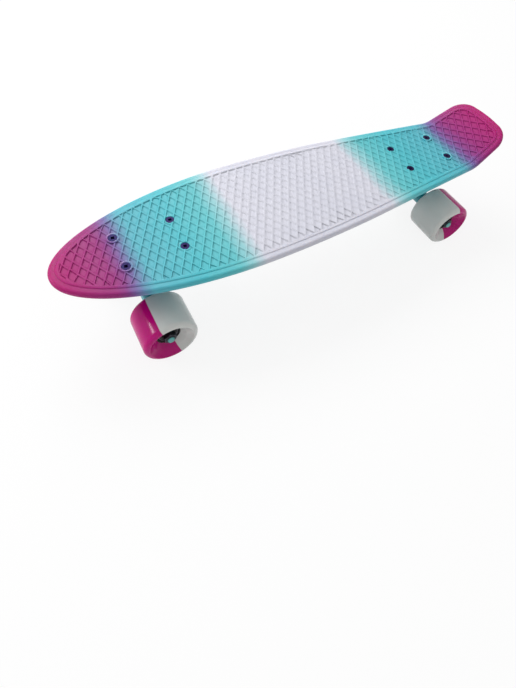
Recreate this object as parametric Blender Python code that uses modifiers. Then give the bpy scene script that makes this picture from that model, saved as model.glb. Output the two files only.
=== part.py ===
# Plastic mini cruiser skateboard: a moulded deck on two trucks with four cast wheels.
# Metres, Z up, the nose toward +X, the ground at Z = 0 under the middle of the board.

import math

import bmesh
import bpy
import numpy as np
from mathutils import Matrix, Vector

# Deck seen from above. Stations run along the deck's surface from midway between the trucks.
DECK_WIDTH = 0.1484
WIDEST_STATION = 0.0664
NOSE_LENGTH = 0.2166
SIDE_CURVE_RADIUS = 1.417
TAIL_TAPER = math.radians(6.2)
TAIL_LENGTH = 0.3000
TAIL_CORNER_RADIUS = 0.026
TAIL_END_BOW = 0.0012

# Deck seen from the side.
CAMBER_RADIUS = 7.6
NOSE_RISE_START = 0.211
NOSE_RISE_RADIUS = 3.2
KICK_START = 0.2313
KICK_RADIUS = 0.022
KICK_ANGLE = math.radians(31.98)
CONCAVE_RADIUS = 3.2

# Deck walls.
RIM_THICKNESS = 0.0095
EDGE_TOP_RADIUS = 0.0034
EDGE_BOTTOM_RADIUS = 0.0035
PLATEAU_INSET = 0.0072
PLATEAU_RISE = 0.0008
WEB_THICKNESS = 0.0062
LIP_WIDTH = 0.0085
LIP_DRAFT = 0.0012

# Waffle top: diamond pockets between thin ribs.
FIELD_INSET = 0.0104
CELL_LENGTH = 0.01028
CELL_WIDTH = 0.0176
POCKET_DEPTH = 0.0015
POCKET_WALL_RUN = 0.0009
SMALLEST_POCKET = 0.35

# Underside ribs.
RIB_WIDTH = 0.005
RIB_SPACING = 0.026
RIB_DEPTH = 0.0026
RIB_END_GAP = 0.004

# Trucks on the deck.
TRUCK_SPACING = 0.3645
BOLT_PATTERN_LENGTH = 0.0620
BOLT_PATTERN_WIDTH = 0.0403
PAD_MARGIN = 0.001
AXLE_DROP = 0.0559
AXLE_OFFSET = 0.0111
STEER_TILT = math.radians(25)
KINGPIN_TO_AXLE = 0.0195
AXLE_BELOW_RING = 0.0200
PIVOT_DISTANCE = 0.0460

# Mounting hardware.
BOLT_SHANK_RADIUS = 0.0024
BOLT_HEAD_RADIUS = 0.0045
BOLT_HEAD_EDGE = 0.0005
BOLT_HEAD_CONE = 0.0022
BOLT_LENGTH = 0.0254
BOLT_BOSS_RADIUS = 0.0065
MOUNT_NUT_ACROSS = 0.0095
MOUNT_NUT_HEIGHT = 0.0058

# Baseplate casting.
PLATE_LENGTH = 0.084
PLATE_WIDTH = 0.057
PLATE_CORNER_RADIUS = 0.008
PLATE_THICKNESS = 0.006
PLATE_EDGE_BEVEL = 0.0012
KINGPIN_BOSS_RADIUS = 0.0145
KINGPIN_BOSS_FOOT = 0.0135
KINGPIN_BOSS_REACH = 0.034
PIVOT_BOSS_RADIUS = 0.0130
PIVOT_BOSS_FOOT = 0.0135
PIVOT_BOSS_REACH = 0.028
BOSS_END_MARGIN = 0.001
BOSS_FOOT_MARGIN = 0.0018
BOSS_SLAB = 0.003

# Kingpin stack.
KINGPIN_RADIUS = 0.00475
KINGPIN_HEAD_ACROSS = 0.0143
KINGPIN_HEAD_HEIGHT = 0.006
KINGPIN_SEAT_WALL = 0.0085
KINGPIN_TIP = 0.0015
KINGPIN_NUT_ACROSS = 0.0143
KINGPIN_NUT_HEIGHT = 0.0075
WASHER_THICKNESS = 0.0016
WASHER_SKIRT = 0.0016
WASHER_SKIRT_WALL = 0.0010
BUSHING_RADIUS = 0.0115
BUSHING_WAIST = 0.0008
BOARD_BUSHING_HEIGHT = 0.0151
ROAD_BUSHING_HEIGHT = 0.0110
ROAD_BUSHING_TIP_RADIUS = 0.0088

# Hanger casting.
HANGER_WIDTH = 0.0910
RING_RADIUS = 0.0145
RING_THICKNESS = 0.0090
RING_BORE_RADIUS = 0.0085
RING_SEAT_DEPTH = 0.0020
BARREL_END_RADIUS = 0.0070
BARREL_RADIUS = 0.0088
BARREL_SHOULDER = 0.030
SADDLE_HALF_WIDTH = 0.020
SADDLE_INSET = 0.0009
SADDLE_LAP = 0.001
GUSSET_HALF_WIDTH = 0.034
GUSSET_RADIUS = 0.0045
GUSSET_RISE = 0.019
BUSHING_ROOM = 0.0015
ARM_ROOT_RADIUS = 0.0085
PIVOT_RADIUS = 0.0060

# Pivot cup.
CUP_WALL = 0.0020
CUP_CHAMFER = 0.0035
CUP_MOUTH = 0.0030
CUP_FLARE = 0.0008

# Axle and wheels.
AXLE_RADIUS = 0.0040
WHEEL_RADIUS = 0.0300
WHEEL_WIDTH = 0.0470
WHEEL_CENTRE = 0.0588
WHEEL_EDGE_RADIUS = 0.0054
WHEEL_DISH_RADIUS = 0.0178
WHEEL_DISH_DROP = 0.0047
WHEEL_HUB_RADIUS = 0.0090
BEARING_RADIUS = 0.0110
BEARING_BORE_RADIUS = 0.0066
BEARING_WIDTH = 0.0070
BEARING_SPACER = 0.0100
SHIELD_DROP = 0.0005
RACE_RADIUS = 0.0060
SPEED_WASHER_RADIUS = 0.0065
SPEED_WASHER_THICKNESS = 0.0010
AXLE_NUT_ACROSS = 0.0127
AXLE_NUT_HEIGHT = 0.0060
AXLE_TIP = 0.0011

# Clearances between pieces, and the number of sides on turned pieces.
GAP = 0.0003
PIVOT_PLAY = 0.0005
CUTTER_LAP = 0.004
CUTTER_REACH = 0.060
WHEEL_SIDES = 20
TURNED_SIDES = 12
SMALL_SIDES = 8
NOSE_POINTS = 17
CORNER_POINTS = 4
KICK_STATIONS = 6
SIDE_STATIONS = 5

MAGENTA = (0.46, 0.012, 0.16, 1)
PURPLE = (0.22, 0.13, 0.47, 1)
TURQUOISE = (0.10, 0.50, 0.58, 1)
LAVENDER_WHITE = (0.72, 0.72, 0.80, 1)


# Scene and materials

def clear_scene():
    for item in list(bpy.data.objects):
        bpy.data.objects.remove(item, do_unlink=True)


def make_collection(name):
    collection = bpy.data.collections.new(name)
    bpy.context.scene.collection.children.link(collection)
    return collection


def make_material(name, colour, roughness, metallic=0.0):
    material = bpy.data.materials.new(name)
    material.use_nodes = True
    material.diffuse_color = colour
    shader = material.node_tree.nodes["Principled BSDF"]
    shader.inputs["Base Color"].default_value = colour
    shader.inputs["Roughness"].default_value = roughness
    shader.inputs["Metallic"].default_value = metallic
    return material


def fade_along_deck(material, length):
    # The deck's colours change along X: magenta ends, turquoise, and a pale middle.
    tree = material.node_tree
    place = tree.nodes.new("ShaderNodeTexCoord")
    split = tree.nodes.new("ShaderNodeSeparateXYZ")
    share = tree.nodes.new("ShaderNodeMapRange")
    ramp = tree.nodes.new("ShaderNodeValToRGB")
    share.inputs["From Min"].default_value = -length / 2
    share.inputs["From Max"].default_value = length / 2
    stops = ((0.13, MAGENTA), (0.19, PURPLE), (0.24, TURQUOISE), (0.37, TURQUOISE), (0.42, LAVENDER_WHITE),
             (0.66, LAVENDER_WHITE), (0.72, TURQUOISE), (0.86, TURQUOISE), (0.90, PURPLE), (0.93, MAGENTA))
    elements = ramp.color_ramp.elements
    while len(elements) < len(stops):
        elements.new(0.5)
    for element, (position, colour) in zip(elements, stops):
        element.position = position
        element.color = colour
    tree.links.new(place.outputs["Object"], split.inputs["Vector"])
    tree.links.new(split.outputs["X"], share.inputs["Value"])
    tree.links.new(share.outputs["Result"], ramp.inputs["Fac"])
    tree.links.new(ramp.outputs["Color"], tree.nodes["Principled BSDF"].inputs["Base Color"])


def split_in_halves(material, other_colour):
    # A cast wheel has one colour on each side of a plane through its axle.
    tree = material.node_tree
    shader = tree.nodes["Principled BSDF"]
    place = tree.nodes.new("ShaderNodeTexCoord")
    split = tree.nodes.new("ShaderNodeSeparateXYZ")
    side = tree.nodes.new("ShaderNodeMath")
    mix = tree.nodes.new("ShaderNodeMix")
    side.operation = "GREATER_THAN"
    side.inputs[1].default_value = 0
    mix.data_type = "RGBA"
    mix.inputs["A"].default_value = shader.inputs["Base Color"].default_value
    mix.inputs["B"].default_value = other_colour
    tree.links.new(place.outputs["Object"], split.inputs["Vector"])
    tree.links.new(split.outputs["X"], side.inputs[0])
    tree.links.new(side.outputs["Value"], mix.inputs["Factor"])
    tree.links.new(mix.outputs["Result"], shader.inputs["Base Color"])


# Mesh helpers

def mesh_object(name, bm):
    mesh = bpy.data.meshes.new(name)
    bm.to_mesh(mesh)
    bm.free()
    item = bpy.data.objects.new(name, mesh)
    bpy.context.scene.collection.objects.link(item)
    return item


def baked(item):
    # The item's mesh with its modifiers applied. The working item is removed.
    depsgraph = bpy.context.evaluated_depsgraph_get()
    depsgraph.update()
    mesh = bpy.data.meshes.new_from_object(item.evaluated_get(depsgraph))
    mesh.name = item.name
    bpy.data.objects.remove(item, do_unlink=True)
    return mesh


def turned(name, profile, sides, closed):
    # A profile of (radius, height) points turned around Z. It runs down its outer side.
    bm = bmesh.new()
    points = [bm.verts.new((radius, 0, height)) for radius, height in profile]
    for first, second in zip(points, points[1:]):
        bm.edges.new((first, second))
    if closed:
        bm.edges.new((points[-1], points[0]))
    item = mesh_object(name, bm)
    screw = item.modifiers.new("turn", "SCREW")
    screw.steps = screw.render_steps = sides
    screw.use_merge_vertices = True
    screw.merge_threshold = 1e-6
    screw.use_smooth_shade = True
    return item


def turned_mesh(name, profile, sides, closed=True):
    mesh = baked(turned(name, profile, sides, closed))
    mesh.set_sharp_from_angle(angle=math.radians(35))
    return mesh


def prism(name, across, height, sides, base=0.0):
    # An upright prism whose flats are this far apart, standing on the given height.
    bm = bmesh.new()
    corner = across / 2 / math.cos(math.pi / sides)
    middle = Matrix.Translation((0, 0, base + height / 2))
    bmesh.ops.create_cone(bm, cap_ends=True, segments=sides, radius1=corner, radius2=corner,
                          depth=height, matrix=middle)
    return mesh_object(name, bm)


def hull(name, shapes):
    # One convex body round several shapes, each a function that adds to the mesh.
    inside = bmesh.new()
    for shape in shapes:
        shape(inside)
    bm = bmesh.new()
    for vert in inside.verts:
        bm.verts.new(vert.co)
    inside.free()
    bmesh.ops.convex_hull(bm, input=bm.verts[:])
    bmesh.ops.delete(bm, geom=[vert for vert in bm.verts if not vert.link_faces], context="VERTS")
    flat = math.radians(0.5)
    bmesh.ops.dissolve_limit(bm, angle_limit=flat, verts=bm.verts[:], edges=bm.edges[:])
    bmesh.ops.recalc_face_normals(bm, faces=bm.faces[:])
    return mesh_object(name, bm)


def disc(frame, radius, height, sides=TURNED_SIDES):
    # A cylinder for a hull, centred on the frame with its axis along the frame's Z.
    def add(bm):
        bmesh.ops.create_cone(bm, cap_ends=True, segments=sides, radius1=radius, radius2=radius,
                              depth=height, matrix=frame)
    return add


def block(low, high):
    # A box between two corners, for a hull.
    def add(bm):
        size = Vector(high) - Vector(low)
        middle = (Vector(high) + Vector(low)) / 2
        own = Matrix.Translation(middle) @ Matrix.Diagonal((*size, 1))
        bmesh.ops.create_cube(bm, size=1, matrix=own)
    return add


def combine(item, tools, operation):
    # Joins the tools to the item, or cuts them from it, and uses them up.
    for tool in tools:
        change = item.modifiers.new(operation.lower(), "BOOLEAN")
        change.operation = operation
        change.solver = "EXACT"
        change.object = tool
    mesh = baked(item)
    for tool in tools:
        bpy.data.objects.remove(tool, do_unlink=True)
    result = bpy.data.objects.new(mesh.name, mesh)
    bpy.context.scene.collection.objects.link(result)
    return result


def in_frame(item, frame):
    item.matrix_world = frame
    bpy.context.view_layer.update()
    return item


def axis_frame(origin, along):
    # A frame at the origin with its Z along the given direction and its Y kept across the board.
    up = Vector(along).normalized()
    across = Vector((0, 1, 0))
    forward = across.cross(up)
    turn = Matrix((forward, across, up)).transposed().to_4x4()
    return Matrix.Translation(origin) @ turn


def arc_points(centre, radius, start, end, count):
    steps = [start + (end - start) * step / count for step in range(count + 1)]
    return [(centre[0] + radius * math.cos(a), centre[1] + radius * math.sin(a)) for a in steps]


# Deck

def half_width(station):
    half = DECK_WIDTH / 2
    if station > WIDEST_STATION:
        share = min((station - WIDEST_STATION) / NOSE_LENGTH, 1)
        return half * math.sqrt(1 - share * share)
    back = WIDEST_STATION - station
    curved = SIDE_CURVE_RADIUS * math.sin(TAIL_TAPER)
    arc = min(back, curved)
    drop = SIDE_CURVE_RADIUS - math.sqrt(SIDE_CURVE_RADIUS ** 2 - arc ** 2)
    return half - drop - max(back - curved, 0) * math.tan(TAIL_TAPER)


def side_height(station):
    # Where a station lies in the deck's side view: its X, its Z and the surface's slope.
    if station >= 0:
        runs = ((NOSE_RISE_START, -1 / CAMBER_RADIUS), (math.inf, 1 / NOSE_RISE_RADIUS))
    else:
        kick_length = KICK_RADIUS * KICK_ANGLE
        runs = ((KICK_START, -1 / CAMBER_RADIUS), (kick_length, 1 / KICK_RADIUS), (math.inf, 0))
    x = z = slope = 0.0
    left = abs(station)
    for length, curvature in runs:
        run = min(left, length)
        if curvature:
            turned_by = slope + run * curvature
            x += (math.sin(turned_by) - math.sin(slope)) / curvature
            z += (math.cos(slope) - math.cos(turned_by)) / curvature
            slope = turned_by
        else:
            x += run * math.cos(slope)
            z += run * math.sin(slope)
        left -= run
        if left <= 0:
            break
    return (x, z, slope) if station >= 0 else (-x, z, -slope)


def bend(point):
    # Takes a point of the flat deck (station, across, height) to the curved deck.
    station, across, height = point
    x, z, slope = side_height(station)
    dish = across * across / 2 / CONCAVE_RADIUS
    normal = Vector((-math.sin(slope), 0, math.cos(slope)))
    return Vector((x, across, z)) + normal * (height + dish)


def outline_points():
    # The deck's edge from the nose tip along the left side to the middle of the tail.
    nose = []
    for step in range(NOSE_POINTS):
        angle = math.pi / 2 * step / NOSE_POINTS
        station = WIDEST_STATION + NOSE_LENGTH * math.cos(angle)
        nose.append((station, half_width(station)))
    curve_end = WIDEST_STATION - SIDE_CURVE_RADIUS * math.sin(TAIL_TAPER)
    kick_end = -KICK_START - KICK_RADIUS * KICK_ANGLE
    kick = np.linspace(-KICK_START, kick_end, KICK_STATIONS)
    side_curve = np.linspace(WIDEST_STATION, curve_end, SIDE_STATIONS)
    taper = np.linspace(curve_end, -KICK_START, SIDE_STATIONS)[1:-1]
    stations = [*side_curve, *taper, *kick]
    side = [(station, half_width(station)) for station in stations]
    # The corner arc touches the tapered side and the end.
    end = -TAIL_LENGTH + TAIL_END_BOW
    middle = end + TAIL_CORNER_RADIUS
    lean = TAIL_TAPER
    side_at_middle = half_width(middle)
    centre = (middle, side_at_middle - TAIL_CORNER_RADIUS / math.cos(lean))
    corner = arc_points(centre, TAIL_CORNER_RADIUS, math.pi / 2 + lean, math.pi, CORNER_POINTS)
    half_end = corner[-1][1]
    bow = [(end - TAIL_END_BOW * (1 - (share ** 2)), half_end * share) for share in (0.6, 0.0)]
    return nose + side + corner + bow


def closed_outline():
    # Both sides of the edge: the nose tip first, the tail's middle at the turn.
    left = outline_points()
    right = [(station, -across) for station, across in reversed(left[1:-1])]
    return left + right


def inset_outline(points, inset):
    moved = []
    count = len(points)
    for index, point in enumerate(points):
        before = Vector(points[index - 1])
        here = Vector(point)
        after = Vector(points[(index + 1) % count])
        first = (here - before).normalized()
        second = (after - here).normalized()
        inward = (Vector((-first.y, first.x)) + Vector((-second.y, second.x))).normalized()
        stretch = max(inward.dot(Vector((-first.y, first.x))), 0.5)
        moved.append(here + inward * inset / stretch)
    return moved


def rim_profile():
    # The rim's section as (inset, height) from the plateau's edge round to the underside lip.
    top = [(EDGE_TOP_RADIUS * (1 - math.sin(a)), EDGE_TOP_RADIUS * (math.cos(a) - 1))
           for a in (0, math.radians(50), math.pi / 2)]
    bottom = [(EDGE_BOTTOM_RADIUS * (1 - math.cos(a)),
               EDGE_BOTTOM_RADIUS * (1 - math.sin(a)) - RIM_THICKNESS)
              for a in (0, math.pi / 2)]
    step = [(PLATEAU_INSET + PLATEAU_RISE / 2, PLATEAU_RISE), (PLATEAU_INSET, 0)]
    lip = [(LIP_WIDTH, -RIM_THICKNESS), (LIP_WIDTH + LIP_DRAFT, PLATEAU_RISE - WEB_THICKNESS)]
    return step + top + bottom + lip


def ring_of(bm, outline, inset, height):
    return [bm.verts.new((*point, height)) for point in inset_outline(outline, inset)]


def deck_blank():
    # The flat deck: rings of the rim's section, a webbed underside and one face for the waffle.
    bm = bmesh.new()
    mark = bm.faces.layers.int.new("waffle")
    outline = closed_outline()
    field = ring_of(bm, outline, FIELD_INSET, PLATEAU_RISE)
    rings = [field] + [ring_of(bm, outline, inset, height) for inset, height in rim_profile()]
    count = len(outline)
    for inner, outer in zip(rings, rings[1:]):
        for index in range(count):
            after = (index + 1) % count
            bm.faces.new((inner[index], inner[after], outer[after], outer[index]))
    bm.faces.new(field)[mark] = 1
    underside = rings[-1]
    for index in range(count // 2):
        mirror = -index % count
        corners = [underside[index], underside[mirror], underside[mirror - 1], underside[index + 1]]
        bm.faces.new(list(dict.fromkeys(corners)))
    cut_waffle(bm, mark)
    bmesh.ops.recalc_face_normals(bm, faces=bm.faces[:])
    return bm


def cut_waffle(bm, mark):
    # Two families of crossing lines cut the field into diamonds, and each diamond sinks between its ribs.
    reach = DECK_WIDTH / CELL_WIDTH + (NOSE_LENGTH + TAIL_LENGTH) / CELL_LENGTH
    lines = range(-math.ceil(reach), math.ceil(reach) + 1)
    for side in (1, -1):
        across = Vector((1 / CELL_LENGTH, side / CELL_WIDTH, 0)).normalized()
        for line in lines:
            cells = [face for face in bm.faces if face[mark]]
            geometry = set(cells)
            for face in cells:
                geometry.update(face.verts, face.edges)
            point = Vector(((line + 0.5) * CELL_LENGTH, 0, 0))
            bmesh.ops.bisect_plane(bm, geom=list(geometry), dist=1e-6, plane_co=point,
                                   plane_no=across)
    whole = CELL_LENGTH * CELL_WIDTH / 2
    pockets = [face for face in bm.faces if face[mark] and face.calc_area() > SMALLEST_POCKET * whole]
    bmesh.ops.inset_individual(bm, faces=pockets, thickness=POCKET_WALL_RUN, depth=-POCKET_DEPTH,
                               use_even_offset=True)


def bent_bar(name, start, end, across, width, low, high, steps):
    # A bar along the deck, bent as the deck is.
    bm = bmesh.new()
    sections = []
    for station in np.linspace(start, end, steps + 1):
        corners = ((across - width / 2, low), (across + width / 2, low),
                   (across + width / 2, high), (across - width / 2, high))
        sections.append([bm.verts.new(bend((station, side, height))) for side, height in corners])
    for first, second in zip(sections, sections[1:]):
        for index in range(4):
            after = (index + 1) % 4
            bm.faces.new((first[index], first[after], second[after], second[index]))
    bm.faces.new(sections[0])
    bm.faces.new(sections[-1])
    bmesh.ops.recalc_face_normals(bm, faces=bm.faces[:])
    return mesh_object(name, bm)


def rounded_plate(name, length, width, corner, thickness, top):
    # A flat plate with rounded corners, its upper face at the given height.
    curve = bpy.data.curves.new(name, "CURVE")
    curve.dimensions = "2D"
    curve.fill_mode = "BOTH"
    curve.extrude = thickness / 2
    spline = curve.splines.new("POLY")
    points = []
    for turn, (x, y) in enumerate(((1, 1), (-1, 1), (-1, -1), (1, -1))):
        centre = (x * (length / 2 - corner), y * (width / 2 - corner))
        points += arc_points(centre, corner, turn * math.pi / 2, (turn + 1) * math.pi / 2, 3)
    spline.points.add(len(points) - 1)
    for place, (x, y) in zip(spline.points, points):
        place.co = (x, y, 0, 1)
    spline.use_cyclic_u = True
    item = bpy.data.objects.new(name, curve)
    bpy.context.scene.collection.objects.link(item)
    mesh = baked(item)
    bm = bmesh.new()
    bm.from_mesh(mesh)
    bmesh.ops.remove_doubles(bm, verts=bm.verts[:], dist=1e-6)
    bmesh.ops.dissolve_limit(bm, angle_limit=math.radians(1), verts=bm.verts[:], edges=bm.edges[:])
    bmesh.ops.translate(bm, verts=bm.verts[:], vec=(0, 0, top - thickness / 2))
    bmesh.ops.recalc_face_normals(bm, faces=bm.faces[:])
    bpy.data.meshes.remove(mesh)
    return mesh_object(name, bm)


def bolt_places():
    return [(x * BOLT_PATTERN_LENGTH / 2, y * BOLT_PATTERN_WIDTH / 2)
            for x in (1, -1) for y in (1, -1)]


def truck_place(end):
    # Midway between a truck's bolts, on the pad under the deck.
    return Vector((end * side_height(TRUCK_SPACING / 2)[0], 0, pad_height()))


def plateau_height():
    # The plateau's level at the bolts.
    return side_height(TRUCK_SPACING / 2)[1] + PLATEAU_RISE


def pad_height():
    return plateau_height() - PLATEAU_RISE - RIM_THICKNESS


def make_deck():
    bm = deck_blank()
    for vert in bm.verts:
        vert.co = bend(vert.co)
    deck = mesh_object("deck", bm)
    added = []
    for end in (1, -1):
        place = truck_place(end)
        web = PLATEAU_RISE + RIM_THICKNESS - WEB_THICKNESS / 2
        pad = rounded_plate("pad", PLATE_LENGTH + 2 * PAD_MARGIN, PLATE_WIDTH + 2 * PAD_MARGIN,
                            PLATE_CORNER_RADIUS + PAD_MARGIN, web, web)
        added.append(in_frame(pad, Matrix.Translation(place)))
        for x, y in bolt_places():
            boss_height = PLATEAU_RISE + RIM_THICKNESS
            boss = prism("boss", 2 * BOLT_BOSS_RADIUS, WEB_THICKNESS / 2, TURNED_SIDES,
                         boss_height - WEB_THICKNESS / 2)
            added.append(in_frame(boss, Matrix.Translation(place + Vector((x, y, 0)))))
    rib_reach = TRUCK_SPACING / 2 - PLATE_LENGTH / 2 - PAD_MARGIN - RIB_END_GAP
    web_middle = PLATEAU_RISE - WEB_THICKNESS / 2
    web_bottom = PLATEAU_RISE - WEB_THICKNESS
    for lane in (-1, 0, 1):
        added.append(bent_bar("rib", -rib_reach, rib_reach, lane * RIB_SPACING, RIB_WIDTH,
                              web_bottom - RIB_DEPTH, web_middle, 4))
    deck = combine(deck, added, "UNION")
    holes = []
    for end in (1, -1):
        place = truck_place(end)
        for x, y in bolt_places():
            holes.append(in_frame(bolt_hole(), Matrix.Translation(place + Vector((x, y, 0)))))
    return baked(combine(deck, holes, "DIFFERENCE"))


def head_top():
    # The bolt heads lie just under the top of their bosses, above the pad.
    return PLATEAU_RISE + RIM_THICKNESS - GAP


def bolt_hole():
    top = head_top() + GAP
    wide = BOLT_HEAD_RADIUS + GAP
    narrow = BOLT_SHANK_RADIUS + GAP
    cone_top = top - BOLT_HEAD_EDGE - GAP
    profile = [(0, top + CUTTER_LAP), (wide, top + CUTTER_LAP), (wide, cone_top),
               (narrow, cone_top - BOLT_HEAD_CONE), (narrow, -CUTTER_LAP), (0, -CUTTER_LAP)]
    return turned("bolt_hole", profile, SMALL_SIDES, closed=False)


# Truck geometry, in each truck's own frame: X outward, Z up, on the pad midway between the bolts

def steer_axis():
    return Vector((math.cos(STEER_TILT), 0, math.sin(STEER_TILT)))


def kingpin_down():
    return Vector((math.sin(STEER_TILT), 0, -math.cos(STEER_TILT)))


def axle_point():
    return Vector((AXLE_OFFSET, 0, -AXLE_DROP))


def ring_point():
    return axle_point() - steer_axis() * KINGPIN_TO_AXLE - kingpin_down() * AXLE_BELOW_RING


def pivot_point():
    return ring_point() + steer_axis() * PIVOT_DISTANCE


def arm_direction():
    return (pivot_point() - axle_point()).normalized()


def board_stack_height():
    # From the baseplate's kingpin seat down to the middle of the hanger's ring.
    ring_seat = RING_THICKNESS / 2 - RING_SEAT_DEPTH
    return GAP + WASHER_THICKNESS + GAP + BOARD_BUSHING_HEIGHT + GAP + ring_seat


def kingpin_frame(down):
    # A frame on the kingpin's axis, this far below the ring's middle, with its Z up along the kingpin.
    return axis_frame(ring_point() + kingpin_down() * down, -kingpin_down())


def make_baseplate():
    plate = rounded_plate("baseplate", PLATE_LENGTH, PLATE_WIDTH, PLATE_CORNER_RADIUS,
                          PLATE_THICKNESS, -GAP)
    bevel = plate.modifiers.new("edges", "BEVEL")
    bevel.width = PLATE_EDGE_BEVEL
    bevel.segments = 1
    bevel.limit_method = "ANGLE"
    bevel.angle_limit = math.radians(60)
    foot_top = -GAP - BOSS_FOOT_MARGIN
    foot_bottom = -GAP - PLATE_THICKNESS + BOSS_FOOT_MARGIN
    inner_end = -PLATE_LENGTH / 2 + BOSS_END_MARGIN
    outer_end = PLATE_LENGTH / 2 - BOSS_END_MARGIN
    seat = kingpin_frame(-board_stack_height())
    kingpin_boss = hull("kingpin_boss", [
        disc(seat @ Matrix.Translation((0, 0, BOSS_SLAB / 2)), KINGPIN_BOSS_RADIUS, BOSS_SLAB),
        block((inner_end, -KINGPIN_BOSS_FOOT, foot_bottom),
              (inner_end + KINGPIN_BOSS_REACH, KINGPIN_BOSS_FOOT, foot_top))])
    pivot = axis_frame(pivot_point(), arm_direction())
    mouth = pivot @ Matrix.Translation((0, 0, BOSS_SLAB - CUP_MOUTH))
    pivot_boss = hull("pivot_boss", [
        disc(mouth, PIVOT_BOSS_RADIUS, 2 * BOSS_SLAB),
        block((outer_end - PIVOT_BOSS_REACH, -PIVOT_BOSS_FOOT, foot_bottom),
              (outer_end, PIVOT_BOSS_FOOT, foot_top))])
    plate = combine(plate, [kingpin_boss, pivot_boss], "UNION")
    cuts = []
    head_seat = board_stack_height() + KINGPIN_SEAT_WALL
    shaft = prism("kingpin_hole", 2 * (KINGPIN_RADIUS + GAP), CUTTER_REACH / 2, TURNED_SIDES, -CUTTER_LAP)
    cuts.append(in_frame(shaft, seat))
    pocket_radius = KINGPIN_HEAD_ACROSS / 2 / math.cos(math.pi / 6) + GAP
    above_head = kingpin_frame(-head_seat - KINGPIN_HEAD_HEIGHT / 2).translation
    opening = Matrix.Translation((above_head.x, 0, GAP))
    cuts.append(hull("head_pocket", [
        disc(kingpin_frame(-head_seat - KINGPIN_HEAD_HEIGHT / 2), pocket_radius,
             KINGPIN_HEAD_HEIGHT + 2 * GAP),
        disc(opening, pocket_radius, 4 * GAP)]))
    cup_shape = cup_outside(GAP, 2 * CUP_MOUTH) + [(0, -2 * CUP_MOUTH)]
    cup_hole = turned("cup_hole", cup_shape, TURNED_SIDES, closed=False)
    cuts.append(in_frame(cup_hole, pivot))
    for x, y in bolt_places():
        hole = prism("plate_hole", 2 * (BOLT_SHANK_RADIUS + GAP), CUTTER_REACH / 2, SMALL_SIDES,
                     -CUTTER_REACH / 3)
        cuts.append(in_frame(hole, Matrix.Translation((x, y, 0))))
    plate = combine(plate, cuts, "DIFFERENCE")
    return baked(plate)


def cup_outside(room, mouth):
    # The pivot cup's closed end and its side, or the same with some room round it for its hole.
    outer = PIVOT_RADIUS + PIVOT_PLAY + CUP_WALL + room
    return [(0, outer), (outer - CUP_CHAMFER, outer), (outer, outer - CUP_CHAMFER), (outer, -mouth)]


def make_pivot_cup():
    # The socket is a hemisphere round the pivot's centre, with a flared mouth.
    inner = PIVOT_RADIUS + PIVOT_PLAY
    socket = [(inner * math.cos(a), inner * math.sin(a)) for a in (0, math.pi / 6, math.pi / 3)]
    profile = [*cup_outside(0, CUP_MOUTH), (inner + CUP_FLARE, -CUP_MOUTH), *socket, (0, inner)]
    return turned_mesh("pivot_cup", profile, TURNED_SIDES, closed=False)


def make_kingpin():
    head_seat = board_stack_height() + KINGPIN_SEAT_WALL
    nut_end = road_stack_height() + KINGPIN_NUT_HEIGHT
    length = head_seat + nut_end + KINGPIN_TIP
    pin = prism("kingpin", KINGPIN_HEAD_ACROSS, KINGPIN_HEAD_HEIGHT - GAP, 6, head_seat + GAP)
    in_head = head_seat + KINGPIN_HEAD_HEIGHT / 2
    end = head_seat - length
    profile = [(0, in_head), (KINGPIN_RADIUS, in_head), (KINGPIN_RADIUS, end + KINGPIN_TIP),
               (KINGPIN_RADIUS - KINGPIN_TIP, end), (0, end)]
    shank = turned("shank", profile, TURNED_SIDES, closed=False)
    return baked(combine(pin, [shank], "UNION"))


def road_stack_height():
    # From the middle of the hanger's ring down to the kingpin nut.
    ring_seat = RING_THICKNESS / 2 - RING_SEAT_DEPTH
    return ring_seat + GAP + ROAD_BUSHING_HEIGHT + GAP + WASHER_THICKNESS + GAP


def make_hex_nut(name, across, height, bore, base, sides):
    nut = prism(name, across, height, 6, base)
    hole = prism("nut_hole", 2 * bore, height * 3, sides, base - height)
    return baked(combine(nut, [hole], "DIFFERENCE"))


def make_bushing(name, height, radius, tip_radius):
    # A waisted urethane barrel or cone, its wide end down, turned on its own bore.
    bore = KINGPIN_RADIUS + GAP
    profile = [(tip_radius, height), ((tip_radius + radius) / 2 - BUSHING_WAIST, height / 2),
               (radius, 0), (bore, 0), (bore, height)]
    return turned_mesh(name, profile, TURNED_SIDES)


def make_cup_washer(name, bushing_end):
    # A dished washer whose skirt hangs down round the end of a bushing.
    bore = KINGPIN_RADIUS + GAP
    inner = bushing_end + GAP
    outer = inner + WASHER_SKIRT_WALL
    profile = [(outer, WASHER_THICKNESS), (outer, -WASHER_SKIRT), (inner, 0), (bore, 0),
               (bore, WASHER_THICKNESS)]
    return turned_mesh(name, profile, TURNED_SIDES)


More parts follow.
